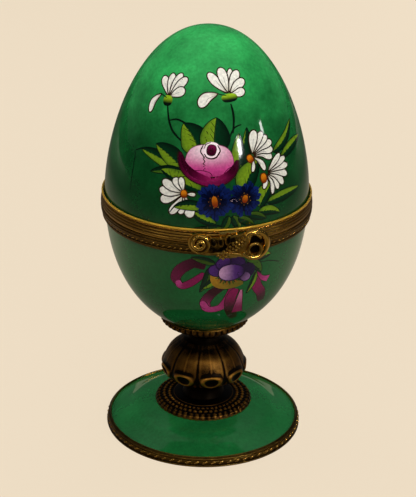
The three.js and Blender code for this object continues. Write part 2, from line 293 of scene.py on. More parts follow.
class Nodes:
    """The node tree of a material or of the world, with short ways to add nodes."""

    def __init__(self, owner, shader="Principled BSDF", place="Object"):
        self.owner = owner
        owner.use_nodes = True
        self.tree = owner.node_tree
        self.shader = self.tree.nodes[shader]
        self.place = self.node("ShaderNodeTexCoord").outputs[place]

    def node(self, kind, **settings):
        node = self.tree.nodes.new(kind)
        for key, value in settings.items():
            setattr(node, key, value)
        return node

    def link(self, source, target):
        self.tree.links.new(source, target)

    def noise(self, scale_per_mm, detail=3.0, roughness=0.55):
        """Noise whose blobs are about 1 / scale_per_mm millimetres across."""
        mapping = self.node("ShaderNodeMapping")
        mapping.inputs["Scale"].default_value = [1 / METRES] * 3
        self.link(self.place, mapping.inputs["Vector"])
        texture = self.node("ShaderNodeTexNoise")
        texture.inputs["Scale"].default_value = scale_per_mm
        texture.inputs["Detail"].default_value = detail
        texture.inputs["Roughness"].default_value = roughness
        self.link(mapping.outputs["Vector"], texture.inputs["Vector"])
        return texture.outputs["Fac"]

    def ramp(self, value, stops):
        """Colours at positions: stops are (position, colour)."""
        node = self.node("ShaderNodeValToRGB")
        elements = node.color_ramp.elements
        while len(elements) < len(stops):
            elements.new(0.5)
        for element, (position, color) in zip(elements, stops):
            element.position = position
            element.color = color
        self.link(value, node.inputs["Fac"])
        return node.outputs["Color"]

    def grey(self, value, low, high, from_low=0.3, from_high=0.7):
        """A number from `low` to `high`, as the value runs over its own range."""
        node = self.node("ShaderNodeMapRange")
        ends = {"From Min": from_low, "From Max": from_high, "To Min": low, "To Max": high}
        for key, number in ends.items():
            node.inputs[key].default_value = number
        self.link(value, node.inputs["Value"])
        return node.outputs["Result"]

    def math(self, operation, first, second=0.0):
        node = self.node("ShaderNodeMath", operation=operation)
        for socket, value in zip(node.inputs, (first, second)):
            if isinstance(value, (int, float)):
                socket.default_value = value
            else:
                self.link(value, socket)
        return node.outputs["Value"]

    def axes(self):
        """The place, as its X, Y and Z."""
        node = self.node("ShaderNodeSeparateXYZ")
        self.link(self.place, node.inputs["Vector"])
        return node.outputs

    def step(self, value, low, high):
        """0 below `low`, 1 above `high` and a smooth rise between."""
        node = self.node("ShaderNodeMapRange", interpolation_type="SMOOTHSTEP")
        node.inputs["From Min"].default_value = low
        node.inputs["From Max"].default_value = high
        self.link(value, node.inputs["Value"])
        return node.outputs["Result"]

    def times(self, first, second):
        return self.math("MULTIPLY", first, second)

    def plus(self, first, second):
        return self.math("ADD", first, second)

    def tint(self, color, shade):
        """A colour darkened or lightened by a number."""
        node = self.node("ShaderNodeMix", data_type="RGBA", blend_type="MULTIPLY")
        sockets = {s.name: s for s in node.inputs if s.enabled}
        sockets["Factor"].default_value = 1.0
        self.link(color, sockets["A"])
        self.link(shade, sockets["B"])
        return next(s for s in node.outputs if s.enabled)

    def attribute(self, name, output):
        return self.node("ShaderNodeAttribute", attribute_name=name).outputs[output]

    def bump(self, height, distance, strength=1.0):
        node = self.node("ShaderNodeBump")
        node.inputs["Distance"].default_value = distance * METRES
        node.inputs["Strength"].default_value = strength
        self.link(height, node.inputs["Height"])
        self.link(node.outputs["Normal"], self.shader.inputs["Normal"])

    def set(self, **values):
        """Sets or links the shader's sockets, and returns what the tree belongs to."""
        for key, value in values.items():
            socket = self.shader.inputs[key.replace("_", " ")]
            if isinstance(value, (int, float, tuple)):
                socket.default_value = value
            else:
                self.link(value, socket)
        return self.owner


GLAZE_SPAN = 125.0  # height that the glaze's ramp covers
GLAZE_HUE = (0.075, 1.0, 0.225)
# How much green the glaze gives back at each height: deep low on the lid, thin at its top.
GLAZE_DEPTHS = [(0, 0.085), (10, 0.088), (36, 0.10), (50, 0.11), (66, 0.075), (72, 0.041), (82, 0.042),
                (92, 0.066), (101, 0.122), (110, 0.24), (120, 0.31)]


def glaze(name):
    """Green glaze: deeper or thinner with height, clouded, and stippled by the dabber."""
    nodes = Nodes(bpy.data.materials.new(name))
    clouds = nodes.noise(0.12, detail=4)
    stipple = nodes.noise(1.1, detail=3, roughness=0.6)
    height = nodes.times(nodes.axes()["Z"], 1 / (GLAZE_SPAN * METRES))
    height = nodes.plus(height, nodes.grey(clouds, -0.03, 0.03))
    mottle = nodes.times(nodes.grey(clouds, 0.82, 1.2), nodes.grey(stipple, 0.84, 1.18))
    stops = [(z / GLAZE_SPAN, (*(depth * c for c in GLAZE_HUE), 1.0)) for z, depth in GLAZE_DEPTHS]
    color = nodes.tint(nodes.ramp(height, stops), mottle)
    roughness = nodes.grey(nodes.noise(0.5), 0.04, 0.08)
    nodes.bump(nodes.noise(0.35, detail=2), 0.02, 0.15)
    return nodes.set(Base_Color=color, Roughness=roughness, IOR=1.5)


def white_glaze(name):
    """Plain white glaze, faintly clouded, for the insides."""
    nodes = Nodes(bpy.data.materials.new(name))
    clouds = nodes.noise(0.15, detail=4)
    color = nodes.ramp(clouds, [(0.3, linear(224, 222, 213)), (0.7, linear(236, 234, 226))])
    nodes.bump(nodes.noise(0.4, detail=2), 0.03, 0.4)
    return nodes.set(Base_Color=color, Roughness=nodes.grey(nodes.noise(0.5), 0.07, 0.14), IOR=1.5)


def aged_brass(name, patina, metal, rub, roughness=(0.5, 0.24), stains=0.35, metallic=1.0):
    """Brass that is dark in its hollows and rubbed bright on its ridges. `rub` holds the wear
    where the patina ends and where the bare metal begins, and `roughness` that of both."""
    nodes = Nodes(bpy.data.materials.new(name))
    rubbed = nodes.attribute("Wear", "Fac")
    stain = nodes.noise(0.35, detail=5)
    grain = nodes.noise(4.0, detail=3)
    for texture, share in ((stain, stains), (grain, 0.2)):
        uneven = nodes.times(nodes.math("SUBTRACT", texture, 0.5), share)
        rubbed = nodes.plus(rubbed, uneven)
    color = nodes.ramp(rubbed, [(rub[0], linear(*patina)), (rub[1], linear(*metal))])
    gloss = nodes.grey(rubbed, roughness[0], roughness[1], rub[0], rub[1])
    nodes.bump(grain, 0.04, 0.35)
    return nodes.set(Base_Color=color, Metallic=metallic, Roughness=gloss)


def enamel(name):
    """Painted colours fired onto the glaze, with the brush's streaks and a little pooling."""
    nodes = Nodes(bpy.data.materials.new(name))
    streaks = nodes.grey(nodes.noise(1.6, detail=3), 0.8, 1.15)
    paint = nodes.tint(nodes.attribute("Paint", "Color"), streaks)
    nodes.bump(nodes.noise(2.5, detail=2), 0.02, 0.3)
    return nodes.set(Base_Color=paint, Roughness=nodes.grey(nodes.noise(0.9), 0.05, 0.1), IOR=1.5)


GREEN = glaze("green_glaze")
ENAMEL = enamel("painted_enamel")
WHITE = white_glaze("white_glaze")
BRASS = aged_brass("aged_brass", (16, 10, 4), (196, 148, 66), (0.44, 0.84), stains=0.14)
# The brass of the stem, flange and cup is left mostly in dark patina: partly its own patina, and partly
# painted shade for the egg's shade over them.
DARK_BRASS_AND_SHADE = aged_brass("dark_brass_and_shade", (20, 14, 8), (196, 136, 56), (0.5, 1.35), stains=0.3)
BOW_BRASS = aged_brass("bow_brass", (16, 10, 4), (222, 174, 76), (0.58, 0.92), (0.45, 0.18))
GOLD = aged_brass("rubbed_brass", (96, 72, 26), (224, 186, 92), (0.3, 0.62), (0.4, 0.16))
# The top bead's brass: lighter than the rest and partly non-metal, so that it is bright all over, as rubbed
# metal and as a painted highlight.
BEAD_GOLD_AND_HIGHLIGHT = aged_brass("bead_gold_and_highlight", (70, 50, 14), (228, 178, 58), (0.1, 0.4), (0.36, 0.22),
                       stains=0.14, metallic=0.7)


# ---- Porcelain ----

EGG_STEPS = 256


def make_lid_shell():
    """The lid's porcelain: green outside, and white inside and on its edge."""
    lip = SEAM_Z + SEAM_GAP + RIM_LIP + SETTING_GAP
    outer = [(egg_radius(lip), lip)] + egg_arc(EQUATOR_Z, EQUATOR_Z + CROWN_HEIGHT, 72)
    outer[-1] = (0, outer[-1][1])
    inner = egg_arc(EQUATOR_Z + CROWN_HEIGHT - WALL, EQUATOR_Z, 48, WALL) + [(egg_radius(lip, WALL), lip)]
    inner[0] = (0, inner[0][1])
    shape = Shape()
    shape.lathe(outer, EGG_STEPS, closed=False)
    shape.lathe(inner, EGG_STEPS, closed=False, material=1)
    shape.lathe([inner[-1], outer[0]], EGG_STEPS, closed=False, material=1)
    return shape.build("lid_shell", [GREEN, WHITE], "lid", "green_glaze", ["lid_porcelain"])


def make_bowl_shell():
    """The bowl's porcelain, with a flat ground inside for the washer and a hole for the rod."""
    lip = SEAM_Z - RIM_LIP - SETTING_GAP
    outer = egg_arc(EQUATOR_Z - KEEL_HEIGHT * 0.9999, lip, 72)
    outer[0] = (ROD_HOLE, outer[0][1])
    inner = egg_arc(lip, BOWL_FLOOR_Z + 0.3, 48, WALL) + [(4.9, BOWL_FLOOR_Z), (ROD_HOLE, BOWL_FLOOR_Z)]
    shape = Shape()
    shape.lathe(outer, EGG_STEPS, closed=False)
    shape.lathe(inner, EGG_STEPS, closed=False, material=1)
    shape.lathe([outer[-1], inner[0]], EGG_STEPS, closed=False, material=1)
    shape.lathe([inner[-1], outer[0]], EGG_STEPS, closed=False, material=1)
    return shape.build("bowl_shell", [GREEN, WHITE], "base", "green_glaze", ["bowl_porcelain"])


def spline(points, steps, shares=None):
    """Points (a, b) along a smooth curve through a few others, evenly or at `shares` of its way."""
    out = []
    last = len(points) - 1
    for share in (i / steps for i in range(steps + 1)) if shares is None else shares:
        t = share * last
        k = min(int(t), last - 1)
        f = t - k
        p = [points[max(0, min(last, k + d))] for d in (-1, 0, 1, 2)]
        out.append(tuple(
            0.5 * (2 * p[1][c] + (p[2][c] - p[0][c]) * f
                   + (2 * p[0][c] - 5 * p[1][c] + 4 * p[2][c] - p[3][c]) * f ** 2
                   + (3 * p[1][c] - p[0][c] - 3 * p[2][c] + p[3][c]) * f ** 3)
            for c in range(len(points[0]))))
    return out


def make_foot_dome():
    """The foot: a shallow dome with a flared edge, white and open underneath."""
    top_z, edge_z, under = FOOT_HIGH.z, FOOT_RIM_HIGH.z, FOOT_LOW.z
    top = spline([(FOOT_RADIUS, edge_z - 0.5), (FOOT_RADIUS - 1.6, edge_z), (FOOT_RADIUS - 4.4, 4.1),
                  (FOOT_RADIUS - 7.8, 5.9), (14, top_z)], 40)
    ceiling = top_z - WALL
    below = spline([(13.4, ceiling), (20, 2.9), (24.4, under)], 16)
    shape = Shape()
    shape.lathe([(FOOT_RADIUS, under)] + top + [(ROD_HOLE, top_z)], EGG_STEPS, closed=False)
    shape.lathe([(ROD_HOLE, top_z), (ROD_HOLE, ceiling)] + below + [(FOOT_RADIUS, under)],
                EGG_STEPS, closed=False, material=1)
    return shape.build("foot_dome", [GREEN, WHITE], "base", "green_glaze", ["foot_porcelain"])


make_lid_shell()
make_bowl_shell()
make_foot_dome()


# ---- Shapes shared by the brass pieces ----

def wrap(x, z, radius):
    """A point `x` millimetres round the front of the egg, `z` up, on a cylinder about its axis."""
    angle = x / radius
    return Vector((radius * math.sin(angle), -radius * math.cos(angle), z))


def add_tube(shape, path, radii, sides=10, flatten=1.0, ring=False):
    """A tube along a path of points. Its section is `flatten` times as deep as it is wide."""
    path = [Vector(p) for p in path]
    count = len(path)
    if not hasattr(radii, "__len__"):
        radii = [radii] * count
    sections = []
    for i, point in enumerate(path):
        before = path[(i - 1) % count] if ring or i else point
        after = path[(i + 1) % count] if ring or i < count - 1 else point
        along = (after - before).normalized()
        out = Vector((point.x, point.y, 0)).normalized()
        out = (out - along * out.dot(along)).normalized()
        side = along.cross(out)
        sections.append([
            point + (side * math.cos(a) + out * math.sin(a) * flatten) * radii[i] for a in turns(sides)])
    shape.loft(sections, ring)


def add_ball(shape, center, radius):
    """A small sphere."""
    center = Vector(center)
    steps, rings = 12, 6
    points = [center + Vector((0, 0, -radius))]
    for i in range(1, rings):
        low = math.pi * i / rings
        points += [center + radius * Vector((math.sin(low) * math.cos(a), math.sin(low) * math.sin(a),
                                             -math.cos(low))) for a in turns(steps)]
    points.append(center + Vector((0, 0, radius)))
    faces = [(0, 1 + (k + 1) % steps, 1 + k) for k in range(steps)]
    for i in range(rings - 2):
        a, b = 1 + i * steps, 1 + (i + 1) * steps
        faces += [(a + k, a + (k + 1) % steps, b + (k + 1) % steps, b + k) for k in range(steps)]
    top, last = 1 + (rings - 2) * steps, len(points) - 1
    faces += [(top + k, top + (k + 1) % steps, last) for k in range(steps)]
    shape.add(points, faces)


def add_pad(shape, outline, back, front, dome):
    """A cast plate wrapped round the front: `outline` holds (x, z), and the face swells by `dome`."""
    cx = sum(x for x, z in outline) / len(outline)
    cz = sum(z for x, z in outline) / len(outline)
    sections = [[wrap(x, z, back) for x, z in outline]]
    rings = 5
    for k in range(rings + 1):
        share = 1 - 0.98 * k / rings
        height = front + dome * (1 - share ** 2)
        sections.append([wrap(cx + (x - cx) * share, cz + (z - cz) * share, height) for x, z in outline])
    shape.loft(sections)


def add_rope(shape, radius, z, size, twists):
    """Two strands twisted round a circle about the axis."""
    for start in turns(2):
        path = []
        for angle in turns(twists * 12):
            turn = twists * angle + start
            r = radius + 0.5 * size * math.cos(turn)
            path.append((r * math.sin(angle), -r * math.cos(angle), z + 0.5 * size * math.sin(turn)))
        add_tube(shape, path, 0.62 * size, 8, ring=True)


def reeded(radius_at, z_top, ridges):
    """The face of a rim from its top down: `ridges` holds (width, height) of each half-round reed,
    and a height below zero is a groove. `radius_at(z)` is the plain face."""
    points = []
    z = z_top
    for width, height in ridges:
        for k in range(7):
            share = k / 6
            down = z - width * share
            points.append((radius_at(down) + height * math.sin(math.pi * share) ** 0.75, down))
        z -= width
    return points


def build_brass(shape, name, node, material, body="base", slot="aged_brass", sharp=30, reach=3, gain=1.0,
                unrubbed_and_shaded=()):
    """Makes a brass piece that stands for one CAD piece, with its wear."""
    materials = material if isinstance(material, list) else [material]
    add_wear(shape.build(name, materials, body, slot, [node], sharp), reach, gain, unrubbed_and_shaded)


RIM_STEPS = 400


def make_lid_rim():
    """A bead along the top, rubbed bright and given a painted highlight, a rope below it, then reeds down to
    the seam.
    """
    top, bottom = LID_RIM_HIGH.z, LID_RIM_LOW.z

    def face(z):
        return RIM_RADIUS - RIM_RELIEF - 0.52 * max(0, (z - bottom - 0.8) / (top - bottom - 0.8)) ** 1.3

    ridges = [(0.5, 0.3), (0.2, -0.3), (0.5, -0.1), (0.16, -0.26)]
    ridges += [(0.62, 0.2), (0.14, -0.26)] * 3
    inside = egg_radius(top) + SETTING_GAP
    shape = Shape()
    shape.lathe([(inside, top - 0.12)] + reeded(face, top, ridges) + [
        (RIM_RADIUS - 0.3, bottom), (RIM_INNER_RADIUS + 0.15, bottom), (RIM_INNER_RADIUS, bottom + 0.15),
        (RIM_INNER_RADIUS, bottom + RIM_LIP),
        (egg_radius(bottom) + SETTING_GAP, bottom + RIM_LIP)], RIM_STEPS)
    rope_z = top - 0.95
    add_rope(shape, face(rope_z) - 0.02, rope_z, 0.25, 60)
    bead_radius, bead_z = face(top - 0.33) + 0.1, top - 0.33
    bead = [(bead_radius + 0.33 * math.cos(a), bead_z + 0.33 * math.sin(a)) for a in turns(16)]
    # The bead takes the lighter brass, whose colour holds a painted highlight.
    shape.lathe(bead, RIM_STEPS, material=1)
    build_brass(shape, "lid_rim_cast", "lid_rim", [BRASS, BEAD_GOLD_AND_HIGHLIGHT], "lid", sharp=75, reach=2, gain=1.3)


def make_bowl_rim():
    """Two reeds below the seam, a row of slanting nicks, and a beaded lower edge."""
    top, bottom = BOWL_RIM_HIGH.z, BOWL_RIM_LOW.z

    def face(z):
        return RIM_RADIUS - RIM_RELIEF - 0.6 * max(0, (top - 0.6 - z) / (top - 0.6 - bottom)) ** 1.4

    ridges = [(0.14, -0.1)] + [(0.62, 0.2), (0.14, -0.26)] * 2 + [(0.86, -0.02), (0.16, -0.28), (0.5, 0.22)]
    ridges += [(0.42, 0.08)]
    inside = egg_radius(bottom) + SETTING_GAP
    shape = Shape()
    shape.lathe([(egg_radius(top - RIM_LIP) + SETTING_GAP, top - RIM_LIP),
                 (RIM_INNER_RADIUS, top - RIM_LIP), (RIM_INNER_RADIUS, top - 0.15),
                 (RIM_INNER_RADIUS + 0.15, top), (RIM_RADIUS - 0.3, top)]
                + reeded(face, top - 0.02, ridges) + [(inside, bottom)], RIM_STEPS)
    nick_z = top - 0.02 - sum(width for width, _ in ridges[:5]) - 0.43
    nicks = 110
    for k in range(nicks):
        x = (k + 0.5) * FULL_TURN / nicks * face(nick_z)
        path = [wrap(x + d * 0.46, nick_z + d * 0.26, face(nick_z) - 0.02) for d in (-1, -0.5, 0, 0.5, 1)]
        add_tube(shape, path, [0.06, 0.2, 0.25, 0.2, 0.06], 6)
    build_brass(shape, "bowl_rim_cast", "bowl_rim", BRASS, sharp=75, reach=2, gain=1.3)


def make_foot_rim():
    """A folded rim with slanting leaves between two plain edges."""
    radius, top = FOOT_RIM_HIGH.x, FOOT_RIM_HIGH.z
    wall, inner, lip = radius - 0.3, 25.8, 0.55
    hold = FOOT_RADIUS + SETTING_GAP
    shape = Shape()
    shape.lathe([(inner, 0), (radius - 0.25, 0)]
                + spline([(radius - 0.02, 0.14), (radius, 0.36), (wall + 0.02, 0.6)], 6)
                + spline([(wall, 0.7), (wall, 1.6), (wall - 0.16, 2.0)], 6)
                + spline([(wall - 0.1, 2.08), (wall - 0.1, 2.36), (wall - 0.42, 2.62)], 6)
                + spline([(wall - 0.5, 2.66), (wall - 0.68, top - 0.06), (FOOT_RADIUS + 0.3, top + 0.04)], 6)
                + [(hold, top - 0.1), (hold, lip), (inner, lip)], RIM_STEPS)
    leaves = 74
    for k in range(leaves):
        x = k * FULL_TURN / leaves * wall
        path = [wrap(x + d * 0.85, 1.32 + d * 0.42 + 0.12 * (1 - d * d), wall - 0.02)
                for d in (-1, -0.7, -0.3, 0.1, 0.5, 1)]
        add_tube(shape, path, [0.06, 0.3, 0.42, 0.38, 0.24, 0.05], 8, flatten=0.8)
    build_brass(shape, "foot_rim_cast", "foot_rim", BRASS, sharp=75, gain=1.2)


# ---- Stem ----

LOBES = 9
# (radius, height) up the stem: a waist over the flange, the tulip's bulge, and its neck.
STEM_OUTLINE = [(6.2, STEM_LOW.z), (5.6, 11.8), (6.8, 14.2), (10.5, 15.7), (12.0, 17.9), (11.8, 20.4),
                (10.1, 23.8), (7.2, 26.3), (5.5, 27.8), (5.1, STEM_HIGH.z)]
CURL_Z = 17.9  # height of the curled tips
# In these two hollows the brass is kept dark: painted shade, as well as unrubbed patina.
NECK = (27.2, 30.6)  # heights of the hollow under the cup
WAIST = (9.0, 11.5)  # and of the one over the flange


def smooth_step(low, high, value):
    share = min(1.0, max(0.0, (value - low) / (high - low)))
    return share * share * (3 - 2 * share)


def make_stem():
    """An upside-down tulip: nine soft lobes run down the bulge, and each ends in a curled tip."""
    pitch = FULL_TURN / LOBES

    def relief(radius, z, angle, row):
        if z < 13.4 or z > 28.0:
            return radius, z
        across = ((angle + pitch / 2) % pitch - pitch / 2) * radius
        edge = pitch / 2 * radius - abs(across)
        body = smooth_step(17.4, 19.0, z) * (1 - smooth_step(25.5, 28.0, z))
        crease = -0.1 * math.exp(-(edge / 0.45) ** 2) * (0.3 + 0.7 * body)
        rib = 0.03 * math.exp(-(across / 0.3) ** 2) * body
        reach = math.hypot(across / 3.0, (z - CURL_Z - 0.06 * across ** 2) / 2.0)
        curl = 0.5 * math.exp(-((reach - 0.84) / 0.26) ** 2) - 0.45 * math.exp(-(reach / 0.42) ** 2)
        tips = -0.6 * smooth_step(0.0, 1.2, 1.0 - edge) * (1 - smooth_step(16.2, 18.4, z))
        fade = smooth_step(13.4, 14.6, z)
        return radius + fade * (crease + rib + curl + tips), z

    shape = Shape()
    outline = [(ROD_HOLE, STEM_LOW.z)] + spline(STEM_OUTLINE, 170) + [(ROD_HOLE, STEM_HIGH.z)]
    shape.lathe(outline, 48 * LOBES, relief)
    build_brass(shape, "stem_cast", "stem", DARK_BRASS_AND_SHADE, sharp=70, reach=8, unrubbed_and_shaded=(WAIST, NECK))


def make_flange():
    """A disc whose sloping face is covered with rings of beads."""
    radius, bottom, top = FLANGE_HIGH.x, FLANGE_LOW.z, FLANGE_HIGH.z
    outline = [(ROD_HOLE, bottom), (radius - 0.3, bottom)]
    outline += spline([(radius - 0.12, bottom + 0.08), (radius - 0.02, bottom + 0.4),
                       (radius - 0.3, bottom + 0.95)], 8)
    outline += spline([(radius - 0.4, bottom + 1.0), (12.4, bottom + 1.4), (9.6, bottom + 1.7),
                       (8.4, top - 0.3)], 46)
    outline += spline([(8.2, top - 0.2), (7.4, top - 0.05), (6.6, top)], 6)
    outline += [(ROD_HOLE, top)]

    def beads(r, z, angle, row):
        if r < 8.8:
            return r, z
        inward = (radius - 0.1 - r) / 1.6
        ring = math.floor(inward)
        along = math.sin(24 * angle + 1.6 * ring) ** 2
        across = math.sin(math.pi * (inward - ring)) ** 2
        rise = 0.6 * (along * across) ** 0.7 * smooth_step(8.8, 9.8, r)
        edge = 0.14 * smooth_step(radius - 0.5, radius - 0.2, r) * math.sin(24 * angle) ** 2
        return r + edge, z + rise - 0.22

    shape = Shape()
    shape.lathe(outline, 720, beads)
    build_brass(shape, "flange_cast", "stem_flange", DARK_BRASS_AND_SHADE, sharp=70, reach=4, unrubbed_and_shaded=(WAIST,))


def make_cup():
    """The cup under the bowl: gadroons on its underside and a scalloped edge."""
    low, high, radius = CUP_LOW.z, CUP_HIGH.z, CUP_HIGH.x

    def seat(r):
        share = (1 - (r / EGG_RADIUS) ** KEEL_ROOT) ** (1 / KEEL_POWER)
        return EQUATOR_Z - KEEL_HEIGHT * share - SETTING_GAP

    outline = [(ROD_HOLE, low), (5.05, low)]
    outline += spline([(5.15, low + 0.1), (5.5, low + 0.9), (6.4, 30.3), (9.3, 31.9), (12.0, 33.6),
                       (radius - 0.1, 34.1)], 60)
    outline += spline([(radius, 34.3), (radius - 0.05, 34.8), (radius - 0.3, high)], 8)
    outer = len(outline)
    outline += [(r, seat(r)) for r in (11.9, 10, 7, 4, ROD_HOLE)]

    def gadroon(r, z, angle, row):
        if row >= outer:
            return r, z
        share = smooth_step(7.5, 10.5, r) * (1 - smooth_step(34.5, 35.1, z))
        lobe = abs(math.cos(22 * angle)) ** 0.7
        return r + share * (0.55 * lobe - 0.35), z - share * (0.5 * lobe - 0.2)

    shape = Shape()
    shape.lathe(outline, 528, gadroon)
    build_brass(shape, "cup_cast", "seat_cup", DARK_BRASS_AND_SHADE, sharp=70, reach=5, unrubbed_and_shaded=(NECK,))


# ---- Clasp ----

def arc(cx, cz, radius, start, end, steps, end_radius=None):
    """Points (x, z) along an arc, or a spiral if the radius changes. Degrees, from +X towards +Z."""
    end_radius = radius if end_radius is None else end_radius
    out = []
    for i in range(steps + 1):
        share = i / steps
        a = math.radians(start + (end - start) * share)
        r = radius + (end_radius - radius) * share
        out.append((cx + r * math.cos(a), cz + r * math.sin(a)))
    return out


def add_scroll(shape, points, thick, lift):
    """A rod on the clasp's face, that swells from a thin start and thins out again."""
    count = len(points)
    radii = [thick * (0.35 + 0.65 * math.sin(math.pi * (i + 0.6) / (count + 0.2)) ** 0.6)
             for i in range(count)]
    add_tube(shape, [wrap(x, z, BOW_FACE + lift) for x, z in points], radii)


def make_clasp():
    """A cast bow: a volute on the left, a crescent and a small ring on the right, and rows of beads
    that slant across the middle beside three leaves."""
    z = SEAM_Z
    left, right = (-7.9, z + 1.0), (7.0, z - 0.1)
    shape = Shape()
    add_pad(shape, arc(*left, 3.0, 0, 345, 40), BOW_INNER, BOW_FACE - 0.1, 0.1)
    add_pad(shape, arc(right[0] - 0.3, right[1], 3.7, 0, 345, 40), BOW_INNER, BOW_FACE - 0.2, 0.1)
    bar = spline([(-8, z + 3.4), (-3.5, z + 2.6), (1, z + 3.1), (6, z + 3.3), (6, z - 3.0), (1, z - 3.0),
                  (-3, z - 2.1), (-8, z - 1.6), (-8, z + 3.4)], 56)[:-1]
    add_pad(shape, bar, BOW_INNER, BOW_FACE - 0.15, 0.25)
    add_scroll(shape, arc(*left, 2.75, -110, 530, 60, end_radius=0.6), 0.62, lift=0.3)
    add_scroll(shape, arc(left[0] + 0.2, left[1] - 0.3, 0.85, 20, 250, 14), 0.5, lift=0.5)
    add_scroll(shape, arc(*right, 3.75, 150, -150, 44), 0.95, lift=0.2)
    add_scroll(shape, arc(right[0] + 0.2, right[1] - 1.5, 1.9, 200, -130, 34), 0.5, lift=0.45)
    add_scroll(shape, arc(right[0] - 0.4, right[1] + 1.2, 2.2, 100, 10, 16), 0.55, lift=0.5)
    lower = spline([(-8.2, z - 1.9), (-5, z - 2.0), (-1.5, z - 1.75), (2, z - 2.3), (4.6, z - 3.1)], 24)
    add_scroll(shape, lower, 0.42, lift=0.1)
    for x, dz, tilt in ((-4.4, 1.5, 118), (-2.3, 1.5, 100), (-0.3, 2.0, 80)):
        t = math.radians(tilt)
        leaf = []
        for a in turns(24):
            along, across = 1.55 * math.cos(a), 0.72 * math.sin(a) * (1 - 0.3 * math.cos(a))
            leaf.append((x + along * math.cos(t) - across * math.sin(t),
                         z + dz + along * math.sin(t) + across * math.cos(t)))
        add_pad(shape, leaf, BOW_FACE - 0.2, BOW_FACE + 0.15, 0.4)
    for row, (shift, size, count) in enumerate(((-0.75, 0.4, 10), (0.1, 0.46, 11), (0.95, 0.4, 8))):
        for k in range(count):
            along = -4.9 + k * 1.02 + 0.35 * row
            x = 1.3 + along * 0.82 + shift * 0.57
            height = z - 0.1 + along * 0.57 - shift * 0.82
            add_ball(shape, wrap(x, height, BOW_FACE + 0.42 + 0.1 * (row == 1)), size)
    add_pad(shape, arc(1.0, z - 0.2, 1.5, 0, 345, 24), BOW_FACE - 0.2, BOW_FACE + 0.1, 0.2)
    build_brass(shape, "clasp_bow_cast", "clasp_bow", BOW_BRASS, "clasp", sharp=60, reach=4)


def add_block(shape, xs, inner, outer, zs):
    """A strip wrapped round the front between two radii and two heights, with its corners eased."""
    bevel, steps = 0.12, 14
    sections = []
    for i in range(steps + 1):
        x = xs[0] + (xs[1] - xs[0]) * i / steps
        ease = bevel if i in (0, steps) else 0.0
        low, high = zs[0] + ease, zs[1] - ease
        a, b = inner + ease * 0.4, outer - ease
        ring = [(a, low), (b - bevel, low), (b, low + bevel), (b, high - bevel), (b - bevel, high), (a, high)]
        sections.append([wrap(x, z, r) for r, z in ring])
    shape.loft(sections)


def make_clasp_tongue():
    """A strip whose lower end is a plate with the catch's hole in it."""
    low, high = node_box("clasp_tongue")
    shape = Shape()
    add_block(shape, (low.x, high.x), TONGUE_INNER, TONGUE_OUTER, (low.z + 2.1, high.z))
    hole = 1.0
    plate = [(2.5 * max(-1, min(1, 1.35 * math.cos(a))), CATCH_Z + max(-1.2, min(1.1, 1.6 * math.sin(a))))
             for a in turns(40)]
    edge = [(hole * math.cos(a), CATCH_Z + hole * math.sin(a)) for a in turns(40)]
    sections = [[wrap(x, z, r) for x, z in outline] for outline, r in (
        (plate, TONGUE_INNER), (plate, TONGUE_OUTER), (edge, TONGUE_OUTER), (edge, TONGUE_INNER))]
    shape.loft(sections, ring=True)
    build_brass(shape, "clasp_tongue_strip", "clasp_tongue", GOLD, "clasp", "bright_brass")


def make_clasp_pad():
    """The block under the tongue, with two rivets."""
    low, high = node_box("clasp_pad")
    shape = Shape()
    add_block(shape, (low.x, high.x), PAD_INNER, PAD_OUTER, (low.z, high.z))
    for x in (low.x + 0.9, high.x - 0.9):
        add_ball(shape, wrap(x, (low.z + high.z) / 2, PAD_OUTER - 0.1), 0.3)
    build_brass(shape, "clasp_pad_block", "clasp_pad", BRASS, "lid")


def make_catch():
    """The bead that the tongue snaps over."""
    low, high = node_box("catch_bead")
    center_z = (low.z + high.z) / 2
    radius = (high.x - low.x) / 2
    shape = Shape()
    dome = [(radius, -0.15)] + [(radius * math.cos(a), radius * math.sin(a)) for a in quarter(10)]
    shape.loft([[Vector((r * math.sin(t), high.y - d, center_z + r * math.cos(t))) for t in turns(24)]
                for r, d in dome])
    build_brass(shape, "catch_bead_ball", "catch_bead", GOLD, slot="bright_brass", sharp=50)


# ---- Hinge, rod and nuts ----

def add_barrel(shape, radius, x_from, x_to, bevel=0.16, bore=0.0):
    """A cylinder along the hinge's axis, with eased ends."""
    rings = [(x_from, radius - bevel), (x_from + bevel, radius), (x_to - bevel, radius),
             (x_to, radius - bevel)]
    if bore:
        rings = [(x_from, bore)] + rings + [(x_to, bore)]
    shape.loft([[Vector((x, HINGE_Y + r * math.cos(a), SEAM_Z + r * math.sin(a))) for a in turns(32)]
                for x, r in rings], ring=bool(bore))


def make_hinge_leaf(node, body, side, knuckles):
    """A strip along the rim with a tab to each of its own knuckles. `side` is 1 above the seam and
    -1 below it."""
    half = node_box(node)[1].x
    shape = Shape()

    def strip(x_from, x_to, near, far, steps):
        sections = []
        for i in range(steps + 1):
            x = x_from + (x_to - x_from) * i / steps
            inner = math.sqrt(LEAF_INNER ** 2 - x ** 2) + 0.02
            eased = LEAF_OUTER - 0.15
            ring = [(inner, near), (eased, near), (LEAF_OUTER, near + 0.15), (LEAF_OUTER, far - 0.15),
                    (eased, far), (inner, far)]
            sections.append([Vector((x, y, SEAM_Z + side * d)) for y, d in ring])
        shape.loft(sections)

    strip(-half + 0.05, half - 0.05, 1.75, 2.92, 24)
    for x_from, x_to in knuckles:
        strip(x_from + 0.05, x_to - 0.05, 0.45, 1.8, 12)
        add_barrel(shape, BARREL, x_from, x_to, bore=0.78)
    for x in (-half * 0.62, 0, half * 0.62):
        add_ball(shape, (x, LEAF_OUTER - 0.12, SEAM_Z + side * 2.35), 0.34)
    build_brass(shape, node + "_cast", node, BRASS, body)


